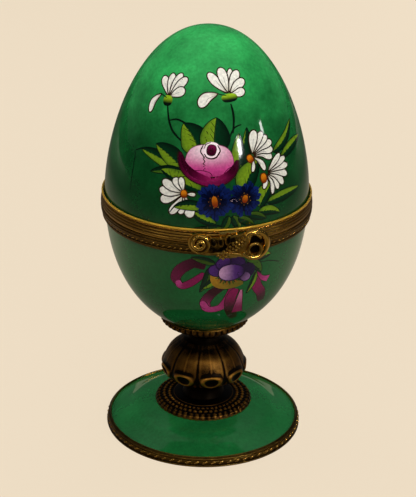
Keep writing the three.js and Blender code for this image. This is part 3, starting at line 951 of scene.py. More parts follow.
def make_hinge():
    """Two leaves whose knuckles share a pin."""
    outer, middle, gap = 8.0, 3.4, 0.2
    make_hinge_leaf("lid_hinge_leaf", "lid", 1, [(-middle, middle)])
    make_hinge_leaf("bowl_hinge_leaf", "base", -1, [(-outer, -middle - gap), (middle + gap, outer)])
    low, high = node_box("hinge_pin")
    shape = Shape()
    add_barrel(shape, 0.72, low.x + 0.05, high.x - 0.05, bevel=0.2)
    build_brass(shape, "hinge_pin_turned", "hinge_pin", GOLD, slot="bright_brass")


def turn_part(node, outline, steps=96, bend=None, finish="turned"):
    """A fastener made on a lathe."""
    shape = Shape()
    shape.lathe(outline, steps, bend)
    build_brass(shape, f"{node}_{finish}", node, GOLD, slot="bright_brass", sharp=35)


def make_fasteners():
    """The threaded rod, and a washer and a nut at each end of it."""
    low, high = node_box("tie_rod")
    pitch = 0.18
    steps = int((high.z - low.z - 0.4) / pitch)
    thread = [(1.5 - 0.12 * (k % 2), low.z + 0.2 + pitch * k) for k in range(steps)]
    turn_part("tie_rod", [(0, low.z), (1.2, low.z)] + thread + [(1.2, high.z), (0, high.z)], 48,
              finish="threaded")
    for node in ("bowl_washer", "foot_washer"):
        low, high = node_box(node)
        r = high.x
        turn_part(node, [(ROD_HOLE, low.z), (r - 0.15, low.z), (r, low.z + 0.12), (r, high.z - 0.15),
                         (r - 0.15, high.z), (ROD_HOLE, high.z)])
    low, high = node_box("bowl_cap_nut")
    r, z = high.x, low.z
    dome = [(2.55 * math.cos(a), z + 1.5 + 1.35 * math.sin(a)) for a in quarter(10)]

    def six_flats(radius, height, angle, row):
        flat = math.cos(math.pi / 6) / math.cos((angle % (math.pi / 3)) - math.pi / 6)
        return (radius * flat, height) if radius > 2.7 else (radius, height)

    turn_part("bowl_cap_nut", [(NUT_BORE, z), (r - 0.2, z), (r, z + 0.15), (r, z + 1.2), (r - 0.25, z + 1.4)]
              + dome + [(0, z + 2.88), (0, z + 2.0), (NUT_BORE, z + 2.0)], bend=six_flats)
    low, high = node_box("foot_hex_nut")
    r = high.y
    turn_part("foot_hex_nut", [(NUT_BORE, low.z), (r - 0.4, low.z), (r, low.z + 0.3), (r, high.z - 0.05),
                               (NUT_BORE, high.z - 0.05)], bend=six_flats)


for make in (make_lid_rim, make_bowl_rim, make_foot_rim, make_stem, make_flange, make_cup, make_clasp,
             make_clasp_tongue, make_clasp_pad, make_catch, make_hinge, make_fasteners):
    make()


# ---- Painted flowers ----

# The egg's outline from the bowl's foot to the lid's top, and its slope at each point.
MERIDIAN_Z = np.linspace(BOWL_LOW.z + 2.0, LID_HIGH.z - 0.2, 900)
MERIDIAN_R = np.array([egg_radius(z) for z in MERIDIAN_Z])
MERIDIAN_LENGTH = np.append(0, np.cumsum(np.hypot(np.diff(MERIDIAN_Z), np.diff(MERIDIAN_R))))
RISE = np.gradient(MERIDIAN_Z, MERIDIAN_LENGTH)
SPREAD = np.gradient(MERIDIAN_R, MERIDIAN_LENGTH)

INK = linear(44, 26, 14)[:3]
NIGHT = linear(6, 22, 12)[:3]
PETAL = linear(226, 222, 208)[:3]
PETAL_SHADE = linear(168, 158, 132)[:3]
LEAF = linear(108, 138, 26)[:3]
LEAF_EDGE = linear(58, 92, 22)[:3]
LEAF_DARK = linear(6, 50, 24)[:3]
CALYX = linear(142, 178, 30)[:3]
OLIVE = linear(52, 76, 16)[:3]
ORANGE = linear(204, 118, 16)[:3]
RUST = linear(118, 42, 10)[:3]
BLUE = linear(15, 32, 88)[:3]
BLUE_DARK = linear(3, 6, 26)[:3]
BLUSH = linear(246, 226, 228)[:3]
ROSE = linear(186, 60, 126)[:3]
MAGENTA = linear(128, 16, 72)[:3]
MAROON = linear(52, 2, 24)[:3]
VIOLET = linear(74, 36, 104)[:3]
VIOLET_DARK = linear(30, 12, 48)[:3]
LILAC = linear(198, 150, 184)[:3]
OCHRE = linear(164, 116, 26)[:3]


def blend(first, second, share):
    """A colour or a point on the way from the first to the second."""
    return tuple(a + (b - a) * share for a, b in zip(first, second))


def fade(first, second, start=0.0, end=1.0):
    """Paint that turns from one colour to another along a stroke."""
    return lambda t, s: blend(first, second, smooth_step(start, end, t))


def oval(width, peak=0.6, power=0.7):
    """A stroke's half width: nothing at its ends and half of `width` at `peak`."""
    bend = math.log(0.5) / math.log(peak)
    return lambda t: 0.5 * width * max(0.0, math.sin(math.pi * t ** bend)) ** power


def bowed(base, tip, bend):
    """A path from base to tip that bows `bend` millimetres to its left."""
    (a, b), (c, d) = base, tip
    length = math.hypot(c - a, d - b)
    left = (-(d - b) / length, (c - a) / length)
    return [base, ((a + c) / 2 + left[0] * bend, (b + d) / 2 + left[1] * bend), tip]


def polar(center, angle, length):
    """The point at an angle in degrees, from right to up, and a distance from `center`."""
    angle = math.radians(angle)
    return center[0] + length * math.cos(angle), center[1] + length * math.sin(angle)


class Painter:
    """Lays strokes of enamel on the egg, each over the last. A path holds points (right, up), in
    millimetres over the glaze from the spot that `move_to` names."""

    ACROSS = np.array([-1, -0.72, -0.36, -0.05, 0.05, 0.36, 0.72, 1])  # points over a stroke's width
    LAYER = 0.001  # how much higher each stroke lies than the last
    UNDER = -0.06  # how far a stroke's edges reach into the glaze
    DOME = 0.0008  # how far a stroke's middle swells

    def __init__(self):
        self.shape = Shape()
        self.lift = 0.02

    def move_to(self, azimuth, z, lift=None):
        """Moves to another spot. `lift` starts again that high over the glaze, for a motif that
        lies over few others."""
        if lift is not None:
            self.lift = lift
        self.azimuth = math.radians(azimuth)
        self.start = np.interp(z, MERIDIAN_Z, MERIDIAN_LENGTH)

    def on_egg(self, right, up, lift):
        """Points on the egg, `lift` over its glaze."""
        z, radius, rise, spread = (np.interp(self.start + up, MERIDIAN_LENGTH, table)
                                   for table in (MERIDIAN_Z, MERIDIAN_R, RISE, SPREAD))
        angle = self.azimuth + right / radius
        out = radius + rise * lift
        return np.stack([out * np.sin(angle), -out * np.cos(angle), z - spread * lift], axis=-1)

    @staticmethod
    def sideways(line):
        """At each point of a line, the direction to its right."""
        along = np.gradient(line, axis=0)
        along /= np.linalg.norm(along, axis=1)[:, None] + 1e-9
        return np.stack([along[:, 1], -along[:, 0]], axis=1)

    def edges(self, path, half_width, steps, lean=0.0):
        """The path's points, the steps along it, and its left and right edges."""
        share = 0.5 - 0.5 * np.cos(np.pi * np.arange(steps + 1) / steps)
        line = np.array(spline(path, steps, share))
        side = self.sideways(line)
        width = np.array([half_width(t) if callable(half_width) else half_width for t in share])
        width = np.maximum(width, 0.02)[:, None]
        return share, line, line - side * width * (1 - lean), line + side * width * (1 + lean)

    def stroke(self, path, half_width, paint, steps=18, lean=0.0):
        """A band along a path. `paint` is a colour, or gives one at t from 0 to 1 along the stroke
        and s from -1 at its left edge to 1 at its right. `lean` widens the right half."""
        share, line, left, right = self.edges(path, half_width, steps, lean)
        self.lay(share, line, left, right, paint)

    def lay(self, share, line, left, right, paint):
        """The mesh of a stroke: its top, and its edges bent down into the glaze."""
        s = self.ACROSS[None, :, None]
        reach = np.where(s < 0, (line - left)[:, None], (right - line)[:, None])
        flat = line[:, None] + reach * s
        top = self.on_egg(flat[..., 0], flat[..., 1], self.lift + self.DOME * (1 - self.ACROSS ** 2)[None, :])
        under = [self.on_egg(edge[:, 0], edge[:, 1], self.UNDER) for edge in (left, right)]
        sections = [[under[0][i], *top[i], under[1][i]] for i in range(len(share))]
        marks = [-1, *self.ACROSS, 1]
        colors = [paint(t, mark) if callable(paint) else paint for t in share for mark in marks]
        self.shape.loft(sections, colors=colors)
        self.lift += self.LAYER

    def line(self, points, thick, ink=INK, steps=14):
        """A fine line that thins towards both ends."""
        self.stroke(points, lambda t: thick * (0.45 + 0.55 * math.sin(math.pi * t) ** 0.6), ink, steps)

    def contour(self, path, half_width, steps=18, lean=0.0, thick=0.16, ink=INK):
        """A fine line round the edge of a stroke."""
        _, _, left, right = self.edges(path, half_width, steps, lean)
        rim = np.concatenate([left, right[::-1]])
        side = self.sideways(rim) * thick
        self.lay(np.linspace(0, 1, len(rim)), rim, rim - side, rim + side, ink)

    def petal(self, base, tip, width, bend=0.0, fill=None, ink=INK, peak=0.66, vein=True):
        """A petal with its outline, and with a short line up its middle if `vein`."""
        path = bowed(base, tip, bend)
        shape = oval(width, peak, 0.6)
        self.stroke(path, shape, fill or fade(PETAL_SHADE, PETAL, 0.0, 0.4))
        self.contour(path, shape, ink=ink)
        if vein:
            middle = [blend(base, tip, 0.12), blend(path[1], blend(base, tip, 0.45), 0.5),
                      blend(base, tip, 0.62)]
            self.line(middle, 0.06, blend(ink, PETAL, 0.3))

    def leaf(self, base, tip, light, dark, bend=0.0, veins=3, tone=LEAF):
        """A leaf with a light half, `light` millimetres wide, to the left of its midrib as it
        grows, and a dark half to the right. A negative width swaps the sides."""
        side = -1 if light < 0 else 1
        light, dark = 1.2 * abs(light), 1.1 * abs(dark)
        path = bowed(base, tip, bend)
        shape = oval(light + dark, 0.42, 0.85)
        lean = side * (dark - light) / (light + dark)

        def paint(t, s):
            if s * side > 0:
                return blend(LEAF_DARK, NIGHT, abs(s))
            middle = blend(LEAF_EDGE, tone, smooth_step(0.0, 0.35, t))
            return blend(middle, LEAF_EDGE, smooth_step(0.6, 1.0, abs(s)))

        self.stroke(path, shape, paint, 22, lean)
        self.contour(path, shape, 22, lean, 0.1, NIGHT)
        self.line(path, 0.11, NIGHT)
        length = math.hypot(tip[0] - base[0], tip[1] - base[1])
        way = math.degrees(math.atan2(tip[1] - base[1], tip[0] - base[0]))
        for k in range(veins):
            start = spline(path, 1, [0.25 + 0.45 * k / max(1, veins - 1)])[0]
            end = polar(start, way + side * 38, min(0.5 * light, 0.2 * length))
            self.line([start, end], 0.07, NIGHT, 6)

    def leaves(self, *rows):
        for row in rows:
            self.leaf(*row)

    def spot(self, center, wide, high, paint, turn=0.0, steps=16):
        """An oval of paint, `high` along its own axis."""
        low, top = polar(center, 90 + turn, -high / 2), polar(center, 90 + turn, high / 2)
        self.stroke([low, top], lambda t: wide * math.sqrt(max(0.0, t - t * t)), paint, steps)


def paint_daisy(p, center, petals, base=None, heart=(1.5, 1.9), turn=0):
    """White petals that spread from `base`, given as (angle, length, width, bend)."""
    base = base or center
    for angle, length, width, bend in petals:
        p.petal(polar(base, angle, 0.5), polar(base, angle, length), width, bend)
    p.spot(center, heart[0] + 0.5, heart[1] + 0.4, blend(RUST, INK, 0.5), turn)
    p.spot(center, *heart, fade(RUST, ORANGE, 0.1, 0.7), turn)


def paint_bud_daisy(p, petals, droop, wide, high):
    """A daisy seen from the side: petals stand on a green calyx, `wide` by `high`, and one droops."""
    base = (0, 0.6)
    for angle, length, width, bend in petals:
        p.petal(polar(base, angle, 0.4), polar(base, angle, length), width, bend)
    start, tip, width, bend = droop
    p.petal(start, tip, width, bend, peak=0.62)
    p.spot((0.1, -0.4), wide, high, fade(NIGHT, CALYX, 0.3, 0.8), turn=4)
    p.line([(start[0] - 0.1, start[1] + 0.1), (-0.4 * wide, 0.5), (-0.15 * wide, 0.35)], 0.14, NIGHT)
    for k in range(5):
        x = (k - 2) * wide * 0.13
        p.line([(x, 0.25 + 0.25 * high), (x * 1.15, 0.8 + 0.25 * high)], 0.07)


def paint_cornflower(p, center, radius, heart, seed):
    """Two rings of pointed navy florets round a black eye."""
    rng = random.Random(seed)
    p.spot(center, 1.5 * radius, 1.5 * radius, BLUE_DARK)
    for ring, (count, reach, tone) in enumerate(((17, 1.06, 0.45), (14, 0.78, 0.1))):
        for k in range(count):
            angle = 360 * (k + 0.5 * ring) / count + rng.uniform(-7, 7)
            length = radius * reach * rng.uniform(0.84, 1.08)
            light = blend(BLUE_DARK, BLUE, min(1.0, tone + rng.uniform(0.0, 0.6)))
            for side, share in ((-5, 0.92), (5, 1.0))[ring:]:
                floret = [polar(center, angle, 0.25 * radius), polar(center, angle + side, share * length)]
                p.stroke(floret, oval(0.26 * radius, 0.74, 1.1), fade(BLUE_DARK, light, 0.25, 0.8), 10)
            p.line([polar(center, angle, 0.3 * length), polar(center, angle - 2, 0.9 * length)], 0.09,
                   BLUE_DARK, 6)
    p.spot(center, radius * 0.6, radius * 0.66, blend(BLUE_DARK, INK, 0.6))
    wide, high, turn = heart
    p.spot(center, wide, high, fade(RUST, blend(RUST, ORANGE, 0.7), 0.2, 0.95), turn)
    for k in range(9):
        spot = polar(center, 40 * k + 20, 0.33 * radius * rng.uniform(0.85, 1.15))
        p.spot(spot, 0.22, 0.22, blend(OCHRE, RUST, rng.random()), steps=6)


def paint_rose(p):
    """A round pink rose, open at the top, in a cradle of dark outer petals."""
    def cradle_width(t):
        return 1.25 * max(0.0, math.sin(math.pi * t)) ** 0.4

    def cradle_paint(t, s):
        return blend(MAROON, MAGENTA, 0.1 + 0.7 * math.sin(math.pi * t) ** 4 - 0.2 * s)

    def body_width(t):
        return 12.2 * max(0.0, t - t * t) ** 0.46

    def body_paint(t, s):
        glow = smooth_step(0.34, 0.92, t) * (1 - 0.6 * abs(s + 0.1) ** 1.5)
        tone = blend(MAGENTA, ROSE, smooth_step(0.05, 0.38, t))
        return blend(tone, BLUSH, min(1.0, 1.05 * glow))

    cradle = [(-7.9, 2.2), (-7.3, -0.8), (-5.2, -3.4), (-0.8, -5.2), (3.6, -4.9), (6.4, -2.9), (7.5, 0.1)]
    p.stroke(cradle, cradle_width, cradle_paint, 40)
    p.contour(cradle, cradle_width, 40, ink=blend(INK, MAROON, 0.4))
    middle = [(0.0, -5.2), (0.0, -0.4), (0.0, 4.6)]
    p.stroke(middle, body_width, body_paint, 40)
    p.contour(middle, body_width, 40, thick=0.07, ink=blend(MAROON, ROSE, 0.2))
    for path, thick in (([(-7.6, 1.6), (-6.4, -1.2), (-4.2, -3.2), (-1.4, -4.3), (0.4, -4.6)], 0.95),
                        ([(7.1, -0.2), (6.0, -2.4), (4.2, -3.8), (1.6, -4.6)], 0.85)):
        p.stroke(path, lambda t: thick * max(0.0, math.sin(math.pi * t)) ** 0.6,
                 fade(MAROON, MAGENTA, 0.35, 1.0), 24)
    p.line([(-4.6, -2.5), (-2.4, -2.3), (-0.2, -2.7), (0.7, -3.6), (0.5, -4.6)], 0.1, MAROON, 24)
    p.line([(6.2, -1.4), (5.0, -1.9), (3.8, -3.1)], 0.09, MAROON)

    opening, heart = (0.5, 3.0), (0.5, 3.1)
    p.spot(opening, 4.4, 4.5, fade(blend(BLUSH, ROSE, 0.15), BLUSH), turn=-6)
    for radius, start, end, thick in ((2.15, 205, 400, 0.2), (2.7, 140, 232, 0.17), (2.1, 95, 170, 0.12)):
        p.line([(opening[0] + radius * math.cos(math.radians(a)) * (1 + 0.06 * math.sin(0.11 * a)),
                 opening[1] + radius * math.sin(math.radians(a)))
                for a in np.linspace(start, end, 13)], thick, INK, 30)
    p.spot(heart, 2.7, 3.1, INK, turn=-10)
    p.spot(heart, 2.3, 2.7, fade(MAROON, blend(MAROON, MAGENTA, 0.6), 0.2, 0.9), turn=-10)
    for turn in (15, 62, 118, 160):
        p.line([polar(opening, turn, 0.9), polar(opening, turn + 175, 0.9)], 0.1, blend(MAROON, INK, 0.3), 6)
    p.line([(-1.0, 1.6), (-1.7, 0.9), (-1.2, 0.1), (-1.7, -0.5), (-1.0, -0.9)], 0.12, INK)
    for spot in ((-1.5, -1.2), (-1.2, -1.7), (-1.5, -2.1)):
        p.spot(spot, 0.3, 0.26, MAROON, steps=6)


def paint_lid():
    """A bouquet round a rose. Stems and leaves come first, so that the flowers lie over them."""
    p = Painter()
    p.move_to(-43, 106.2)
    p.line([(0.4, -1.5), (1.9, -5.4), (3.9, -8.3), (7.4, -10.8)], 0.3, NIGHT)
    p.line([(1.9, -5.5), (4.2, -4.8), (7.3, -5.9), (10.4, -7.8)], 0.26, NIGHT)
    p.move_to(5, 107.7)
    p.line([(0.3, -2.0), (0.7, -5.5), (0.1, -9.8)], 0.3, NIGHT)
    p.move_to(-10, 92)
    p.line([(-22, -0.1), (-22.6, -4.3), (-23.8, -11.3)], 0.12, NIGHT)
    p.line([(-22, -0.1), (-18, 1.4), (-13, 1.0)], 0.16, NIGHT)
    p.leaves(((-8.6, -2.6), (-19.6, 0.8), 1.5, 1.9, -0.7, 0),
             ((-7.0, -2.2), (-14.8, 3.1), 2.0, 2.8, -0.4, 3),
             ((-5.2, -3.6), (-16.4, -4.3), 1.0, 1.2, -0.9, 0, LEAF_EDGE),
             ((-1.8, -7.8), (-13.2, -3.2), -2.6, -1.2, 0.2, 4),
             ((-2.4, 1.6), (-6.9, 9.7), 3.4, 3.6, -0.7, 4),
             ((1.4, 2.0), (1.8, 11.6), 3.2, 3.9, 0.3, 4))
    p.line([(4.6, 3.2), (6.2, 8.2), (8.6, 9.4)], 0.2, NIGHT)
    p.move_to(7, 91.4)
    p.leaves(((0.4, -3.4), (3.2, 9.0), 0.6, 2.3, 0.3, 0),
             ((-1.0, -4.0), (0.9, 7.7), 2.0, 1.5, -0.5, 2))
    p.move_to(16, 90)
    p.leaves(((7.0, 2.6), (16.8, 8.8), 1.2, 1.5, -0.8, 0),
             ((9.6, 0.6), (21.2, 3.2), 1.3, 1.5, 0.5, 2),
             ((3.6, -10.4), (17.0, -9.6), 1.3, 1.4, 0.2, 0),
             ((-3.4, -6.4), (1.9, 1.6), 3.0, 2.2, 0.4, 3),
             ((1.2, -11.2), (5.9, -5.0), 2.5, 1.6, 0.2, 3),
             ((1.0, -12.6), (8.2, -14.2), 1.3, 1.1, 0.5, 2))
    p.move_to(0, 82)
    p.leaves(((-4.0, -4.6), (-13.6, 0.4), -1.6, -1.2, 0.6, 3, LEAF_EDGE),
             ((-3.0, -6.6), (-9.8, -3.2), -1.2, -1.0, 0.4, 2),
             ((-1, -7.4), (-8.6, -7.9), 0.7, 0.7, 0.2, 0, OLIVE),
             ((0.5, -4.5), (-1.6, -9.0), 0.9, 1.0, 0.2, 0, OLIVE),
             ((1.5, -4.6), (3.4, -8.8), 1.0, 1.1, 0.2, 0, OLIVE),
             ((3, -5.2), (7.8, -7.9), 0.9, 1.2, 0.2, 0, OLIVE),
             ((6, -4.6), (11.4, -6.6), 0.9, 1.1, 0.2, 0, OLIVE))

    flowers = p.lift
    p.move_to(-24, 83)
    paint_daisy(p, (0.2, 0.4), [
        (288, 6.8, 3.0, 0.2), (262, 5.8, 2.2, 0.1), (238, 7.0, 2.4, 0.3), (203, 7.0, 2.8, -0.2),
        (177, 7.0, 2.6, 0.2), (155, 6.8, 2.6, 0.1), (127, 5.0, 2.3, -0.1), (104, 4.6, 1.8, 0.0),
        (0, 3.2, 1.2, 0.0)])
    p.leaf((5.6, -2.8), (-2.4, -3.4), 1.3, 1.2, -0.6)
    p.line([(1.4, -1.0), (-1.4, -2.4), (-3.6, -5.2)], 0.18, NIGHT)
    p.move_to(16, 90, flowers)
    paint_daisy(p, (-0.6, 2.2), [
        (266, 4.4, 1.2, 0.3), (308, 5.8, 1.6, 0.6), (-16, 6.4, 2.2, 0.9), (2, 6.8, 2.4, 0.9),
        (20, 7.2, 2.4, 0.8), (39, 6.9, 2.3, 0.5), (56, 7.0, 2.2, 0.3), (77, 6.8, 2.6, 0.2)],
        (0.1, 2.9), (1.5, 2.1), 25)
    paint_daisy(p, (3.0, -3.6), [
        (252, 4.4, 1.5, 0.3), (-76, 6.4, 1.5, 0.7), (-56, 6.4, 1.8, 0.9), (-38, 7.2, 2.0, 0.9),
        (-17, 7.8, 2.1, 0.7), (2, 8.0, 2.1, 0.5), (20, 7.6, 2.1, 0.3), (38, 6.6, 1.9, 0.1)],
        (4.1, -2.4), (1.6, 2.5), 12)
    p.move_to(-9.8, 92, flowers)
    paint_rose(p)
    p.move_to(0, 82, flowers + 0.05)
    paint_cornflower(p, (4.9, -0.2), 4.5, (1.5, 2.1, -10), 5)
    paint_cornflower(p, (-3.3, -0.4), 4.8, (1.5, 3.0, 8), 3)
    for k in range(6):
        p.petal((1.6 + 0.1 * k, -0.9), polar((1.7, -0.9), 20 + 24 * k, 1.4), 0.4, 0,
                blend(BLUSH, ROSE, 0.3), BLUE_DARK, vein=False)
    p.move_to(-43, 106.2, 0.04)
    paint_bud_daisy(p, [
        (124, 6.2, 2.5, -0.2), (97, 6.6, 2.2, 0.1), (76, 7.2, 2.2, 0.1), (60, 7.0, 2.5, -0.1),
        (32, 4.9, 2.8, 0.1)],
        ((-2.4, 1.0), (-4.7, -4.6), 1.9, -0.9), 2.7, 2.9)
    p.move_to(5.2, 107.7, 0.04)
    paint_bud_daisy(p, [
        (127, 7.6, 2.6, 0.3), (78, 7.2, 1.7, 0), (99, 7.6, 2.7, 0.1), (61, 7.2, 2.6, 0.1),
        (34, 6.1, 2.6, 0.3), (8, 4.7, 2.4, -0.3)],
        ((-2.9, 0.9), (-8.2, -2.8), 2.8, -0.9), 4.4, 2.3)
    p.shape.build("lid_bouquet", [ENAMEL], "lid", "green_glaze", sharp=30)


def band(wide, power=0.35):
    """Half the width of a ribbon that is `wide` in its middle and narrower at its ends."""
    return lambda t: 0.5 * wide * (0.3 + 0.7 * max(0.0, math.sin(math.pi * t)) ** power)


def paint_bowl():
    """A violet flower on a bow of ribbon."""
    p = Painter()
    p.move_to(2, 60)
    wine, dusk = blend(MAROON, INK, 0.3), blend(MAROON, INK, 0.5)
    for path, width, *tones in (
            ([(-6.4, 2.6), (-9.6, 3.6), (-13.0, 1.4), (-14.4, -1.6), (-13.4, -3.6)], band(3.2),
             MAROON, blend(MAROON, MAGENTA, 0.5), 0.2, 0.8),
            ([(-13.8, -2.6), (-12.6, -4.4), (-10.0, -3.0), (-6.6, 0.4)], band(2.4), ROSE, MAGENTA, 0.1, 0.5),
            ([(-0.6, -3.6), (-4.0, -6.6), (-5.6, -10.2), (-4.6, -12.6)], band(3.0),
             wine, blend(MAGENTA, ROSE, 0.4), 0.3, 0.9),
            ([(-6.4, -9.8), (-4.6, -13.2), (-1.2, -12.6), (0.6, -8.8), (1.4, -4.8)], band(2.7),
             ROSE, MAGENTA, 0.2, 0.9),
            ([(2.6, -5.4), (1.4, -9.0), (1.8, -13.6), (3.6, -18.8)], band(3.2), MAGENTA, dusk, 0.2, 0.7),
            ([(4.2, -6.2), (4.0, -10.6), (4.0, -15.6)], lambda t: 0.35 + 1.35 * t,
             blend(ROSE, PETAL, 0.15), MAGENTA, 0.2, 0.8),
            ([(8.6, -0.6), (8.8, -5.4), (10.8, -9.0), (11.6, -13.0)], band(3.2), MAGENTA, wine, 0.4, 0.9),
            ([(8.6, -0.8), (10.4, -3.2), (12.6, -4.2)], lambda t: 0.3 + 0.9 * t, MAGENTA, ROSE)):
        p.stroke(path, width, fade(*tones), 30)
        p.contour(path, width, 30, thick=0.1, ink=dusk)
    p.leaf((5.0, 3.0), (12.6, 4.2), 1.9, 1.0, 0.3)
    p.line([(8.0, 2.4), (12.4, 2.0), (16.4, 0.4)], 0.13, NIGHT)
    p.leaves(((5.2, 3.4), (9.8, -1.0), 1.6, 1.0, 0.3, 2, LEAF_EDGE),
             ((8.2, -0.6), (5.8, -7.8), 0.9, 0.6, 0.2, 0),
             ((4.6, -3.0), (-1.0, -5.2), 1.0, 1.2, -0.4, 2),
             ((-3.8, 3.6), (-10.4, 5.4), 1.0, 0.8, -0.3, 0, OLIVE),
             ((-5.2, 2.4), (-7.4, -6.2), 0.9, 1.1, 0.5, 0, OLIVE),
             ((-3.4, -0.6), (-6.8, -4.8), 1.2, 0.9, 0.3, 2))
    p.stroke([(-4.4, 0.2), (-2.8, -3.0), (0.6, -3.7), (4.4, -3.4)], band(2.9, 0.6),
             fade(OCHRE, blend(OLIVE, OCHRE, 0.35), 0.1, 0.8), 24)
    center = (0.4, 0.8)
    streaks = (blend(OCHRE, RUST, 0.6), OLIVE, blend(NIGHT, OLIVE, 0.4))
    for k in range(22):
        angle = 198 + 6.5 * k
        end = polar(center, angle + 4, 4.0 + 0.5 * (k % 2))
        p.line([polar(center, angle, 2.4), end], 0.2, streaks[k % 3])
    for base, tip, width, tone in (((1.4, 1.6), (-5.6, 1.6), 4.0, VIOLET),
                                   ((0.4, 1.2), (-2.4, 5.2), 4.4, VIOLET),
                                   ((1.0, 1.2), (3.6, 5.0), 4.6, blend(VIOLET, VIOLET_DARK, 0.6)),
                                   ((1.2, 1.0), (7.4, -0.2), 5.0, VIOLET_DARK),
                                   ((2.6, 0.2), (6.0, -2.6), 3.0, blend(VIOLET, LILAC, 0.3))):
        p.petal(base, tip, width, 0.2, fade(VIOLET_DARK, tone, 0.2, 0.9), VIOLET_DARK, 0.62, vein=False)

    def front_paint(t, s):
        tone = blend(VIOLET_DARK, VIOLET, smooth_step(0.0, 0.35, t))
        return blend(tone, LILAC, smooth_step(0.35, 0.95, t) * (1 - 0.25 * s * s))

    front, front_width = [(4.6, 0.8), (1.0, 0.5), (-2.8, 0.6)], oval(5.4, 0.56, 0.5)
    p.stroke(front, front_width, front_paint, 30)
    p.contour(front, front_width, 30, ink=VIOLET_DARK)
    p.shape.build("bowl_bouquet", [ENAMEL], "base", "green_glaze", sharp=30)


paint_lid()
paint_bowl()


# ---- Stage, light and camera ----

CAMERA_DISTANCE = 480
CAMERA_ELEVATION = 23.6
CAMERA_AZIMUTH = -11.1
CAMERA_ROLL = 1.0
CAMERA_LENS = 122.4
PIVOT = Vector((0, 0, 62))
AIM_DOWN, AIM_RIGHT = 6.06, 0.62  # where the camera looks, from the pivot
PAPER_GLOW = 0.93  # how bright the floor looks to the camera
FLOOR_GLOW, BACKDROP_GLOW = 0.12, 0.26  # how bright it is to the glaze, close by and further off
DOME_GLOW, WALL_GLOW, ROOM_GLOW = 0.24, 0.06, 0.012


def make_camera():
    """The camera looks near the pivot from CAMERA_AZIMUTH, with a small roll."""
    azimuth, elevation = math.radians(CAMERA_AZIMUTH), math.radians(CAMERA_ELEVATION)
    away = Vector((math.sin(azimuth) * math.cos(elevation),
                   -math.cos(azimuth) * math.cos(elevation),
                   math.sin(elevation)))
    right = Vector((math.cos(azimuth), math.sin(azimuth), 0))
    up = away.cross(right)
    place = PIVOT + away * CAMERA_DISTANCE
    look = (PIVOT + right * AIM_RIGHT - up * AIM_DOWN) - place
    camera = bpy.data.objects.new("camera", bpy.data.cameras.new("camera"))
    bpy.context.scene.collection.objects.link(camera)
    turn = look.to_track_quat("-Z", "Y").to_matrix() @ Matrix.Rotation(math.radians(CAMERA_ROLL), 3, "Z")
    camera.matrix_world = Matrix.Translation(place * METRES) @ turn.to_4x4()
    camera.data.sensor_width = 36
    camera.data.lens = CAMERA_LENS
    camera.data.clip_start = 0.01
    bpy.context.scene.camera = camera


def make_floor():
    """A pale sweep of paper. It is plain to the camera, and glows into the glaze near the box."""
    half = 3000 * METRES
    mesh = bpy.data.meshes.new("floor")
    corners = [(-half, -half, 0), (half, -half, 0), (half, half, 0), (-half, half, 0)]
    mesh.from_pydata(corners, [], [(0, 1, 2, 3)])
    nodes = Nodes(bpy.data.materials.new("floor"))
    x, y, _ = nodes.axes()  # in metres, as the numbers below
    distance = nodes.math("SQRT", nodes.plus(nodes.times(x, x), nodes.times(y, y)))
    near = nodes.step(distance, 0.2, 0.06)
    behind = nodes.step(y, 0.0, 0.12)
    beside = nodes.step(nodes.math("ABSOLUTE", x), 0.03, 0.12)
    backdrop = nodes.times(nodes.plus(behind, beside), nodes.step(distance, 0.34, 0.1))
    glow = nodes.plus(nodes.times(near, FLOOR_GLOW), nodes.times(backdrop, BACKDROP_GLOW))
    seen = nodes.node("ShaderNodeLightPath").outputs["Is Camera Ray"]
    nodes.set(Base_Color=(0.05, 0.045, 0.04, 1), Roughness=0.9, Emission_Color=linear(237, 220, 194),
              Emission_Strength=nodes.math("MAXIMUM", glow, nodes.times(seen, PAPER_GLOW)))
    nodes.shader.inputs["Specular IOR Level"].default_value = 0.0
    mesh.materials.append(nodes.owner)
    floor = bpy.data.objects.new("floor", mesh)
    bpy.context.scene.collection.objects.link(floor)


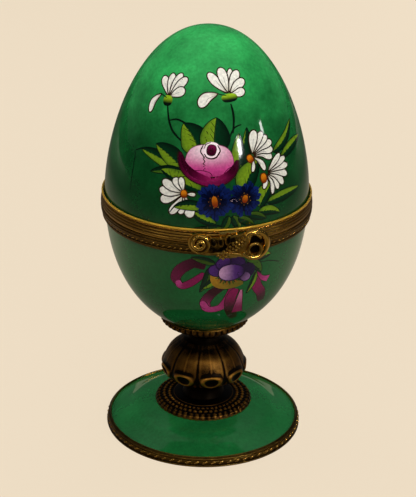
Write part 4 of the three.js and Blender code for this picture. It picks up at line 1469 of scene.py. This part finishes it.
def add_light(name, place, target, size, watts, color=(1, 1, 1)):
    """A rectangular lamp, `size` wide and high, that shines on its target."""
    light = bpy.data.lights.new(name, "AREA")
    light.shape = "RECTANGLE"
    light.size, light.size_y = size[0] * METRES, size[1] * METRES
    light.energy = watts
    light.color = color
    obj = bpy.data.objects.new(name, light)
    bpy.context.scene.collection.objects.link(obj)
    turn = (Vector(target) - Vector(place)).to_track_quat("-Z", "Y").to_matrix()
    obj.matrix_world = Matrix.Translation(Vector(place) * METRES) @ turn.to_4x4()
    return obj


def make_world():
    """A dim room that is brighter overhead and behind the box."""
    world = bpy.data.worlds.new("room")
    bpy.context.scene.world = world
    nodes = Nodes(world, "Background", "Generated")
    _, back, up = nodes.axes()
    glow = nodes.times(nodes.step(up, 0.5, 1.0), DOME_GLOW)
    glow = nodes.plus(glow, nodes.times(nodes.step(back, -0.1, 0.7), WALL_GLOW))
    nodes.set(Color=(0.95, 0.98, 1.0, 1.0), Strength=nodes.plus(glow, ROOM_GLOW))


def around(azimuth, elevation, distance):
    """A place round the box, seen from the front at azimuth 0."""
    a, e = math.radians(azimuth), math.radians(elevation)
    level = distance * math.cos(e)
    return level * math.sin(a), -level * math.cos(a), 60 + distance * math.sin(e)


def make_lights():
    """Soft boxes that light the colours but don't show in the glaze, two small windows that do, and
    strips that put a sparkle on the brass alone."""
    middle = (0, 0, 60)
    add_light("overhead", (0, 60, 620), middle, (900, 900), 4.6).visible_glossy = False
    for name, azimuth, elevation, watts in (("front_low", 0, 15, 1.2), ("front_high", 0, 45, 0.75),
                                            ("back_left", -130, 0, 4.0), ("back_right", 130, 0, 4.0)):
        add_light(name, around(azimuth, elevation, 600), middle, (300, 300), watts).visible_glossy = False
    lid = (0, 0, 95)
    add_light("window", (205, -390, 198), lid, (30, 52), 0.3)
    add_light("far_window", (384, -205, 205), lid, (26, 44), 0.05)
    brass = bpy.data.collections.new("brass")
    for obj in bpy.context.scene.objects:
        if obj.type == "MESH" and "Wear" in obj.data.attributes:
            brass.objects.link(obj)
    for name, place, size, watts in (("brass_strip", (-60, -420, 430), (620, 40), 0.42),
                                     ("brass_side", (-430, -260, 160), (60, 200), 0.12)):
        light = add_light(name, place, middle, size, watts, (1.0, 0.93, 0.8))
        light.light_linking.receiver_collection = brass


make_camera()
make_floor()
make_world()
make_lights()
bpy.context.scene.view_settings.view_transform = "Standard"
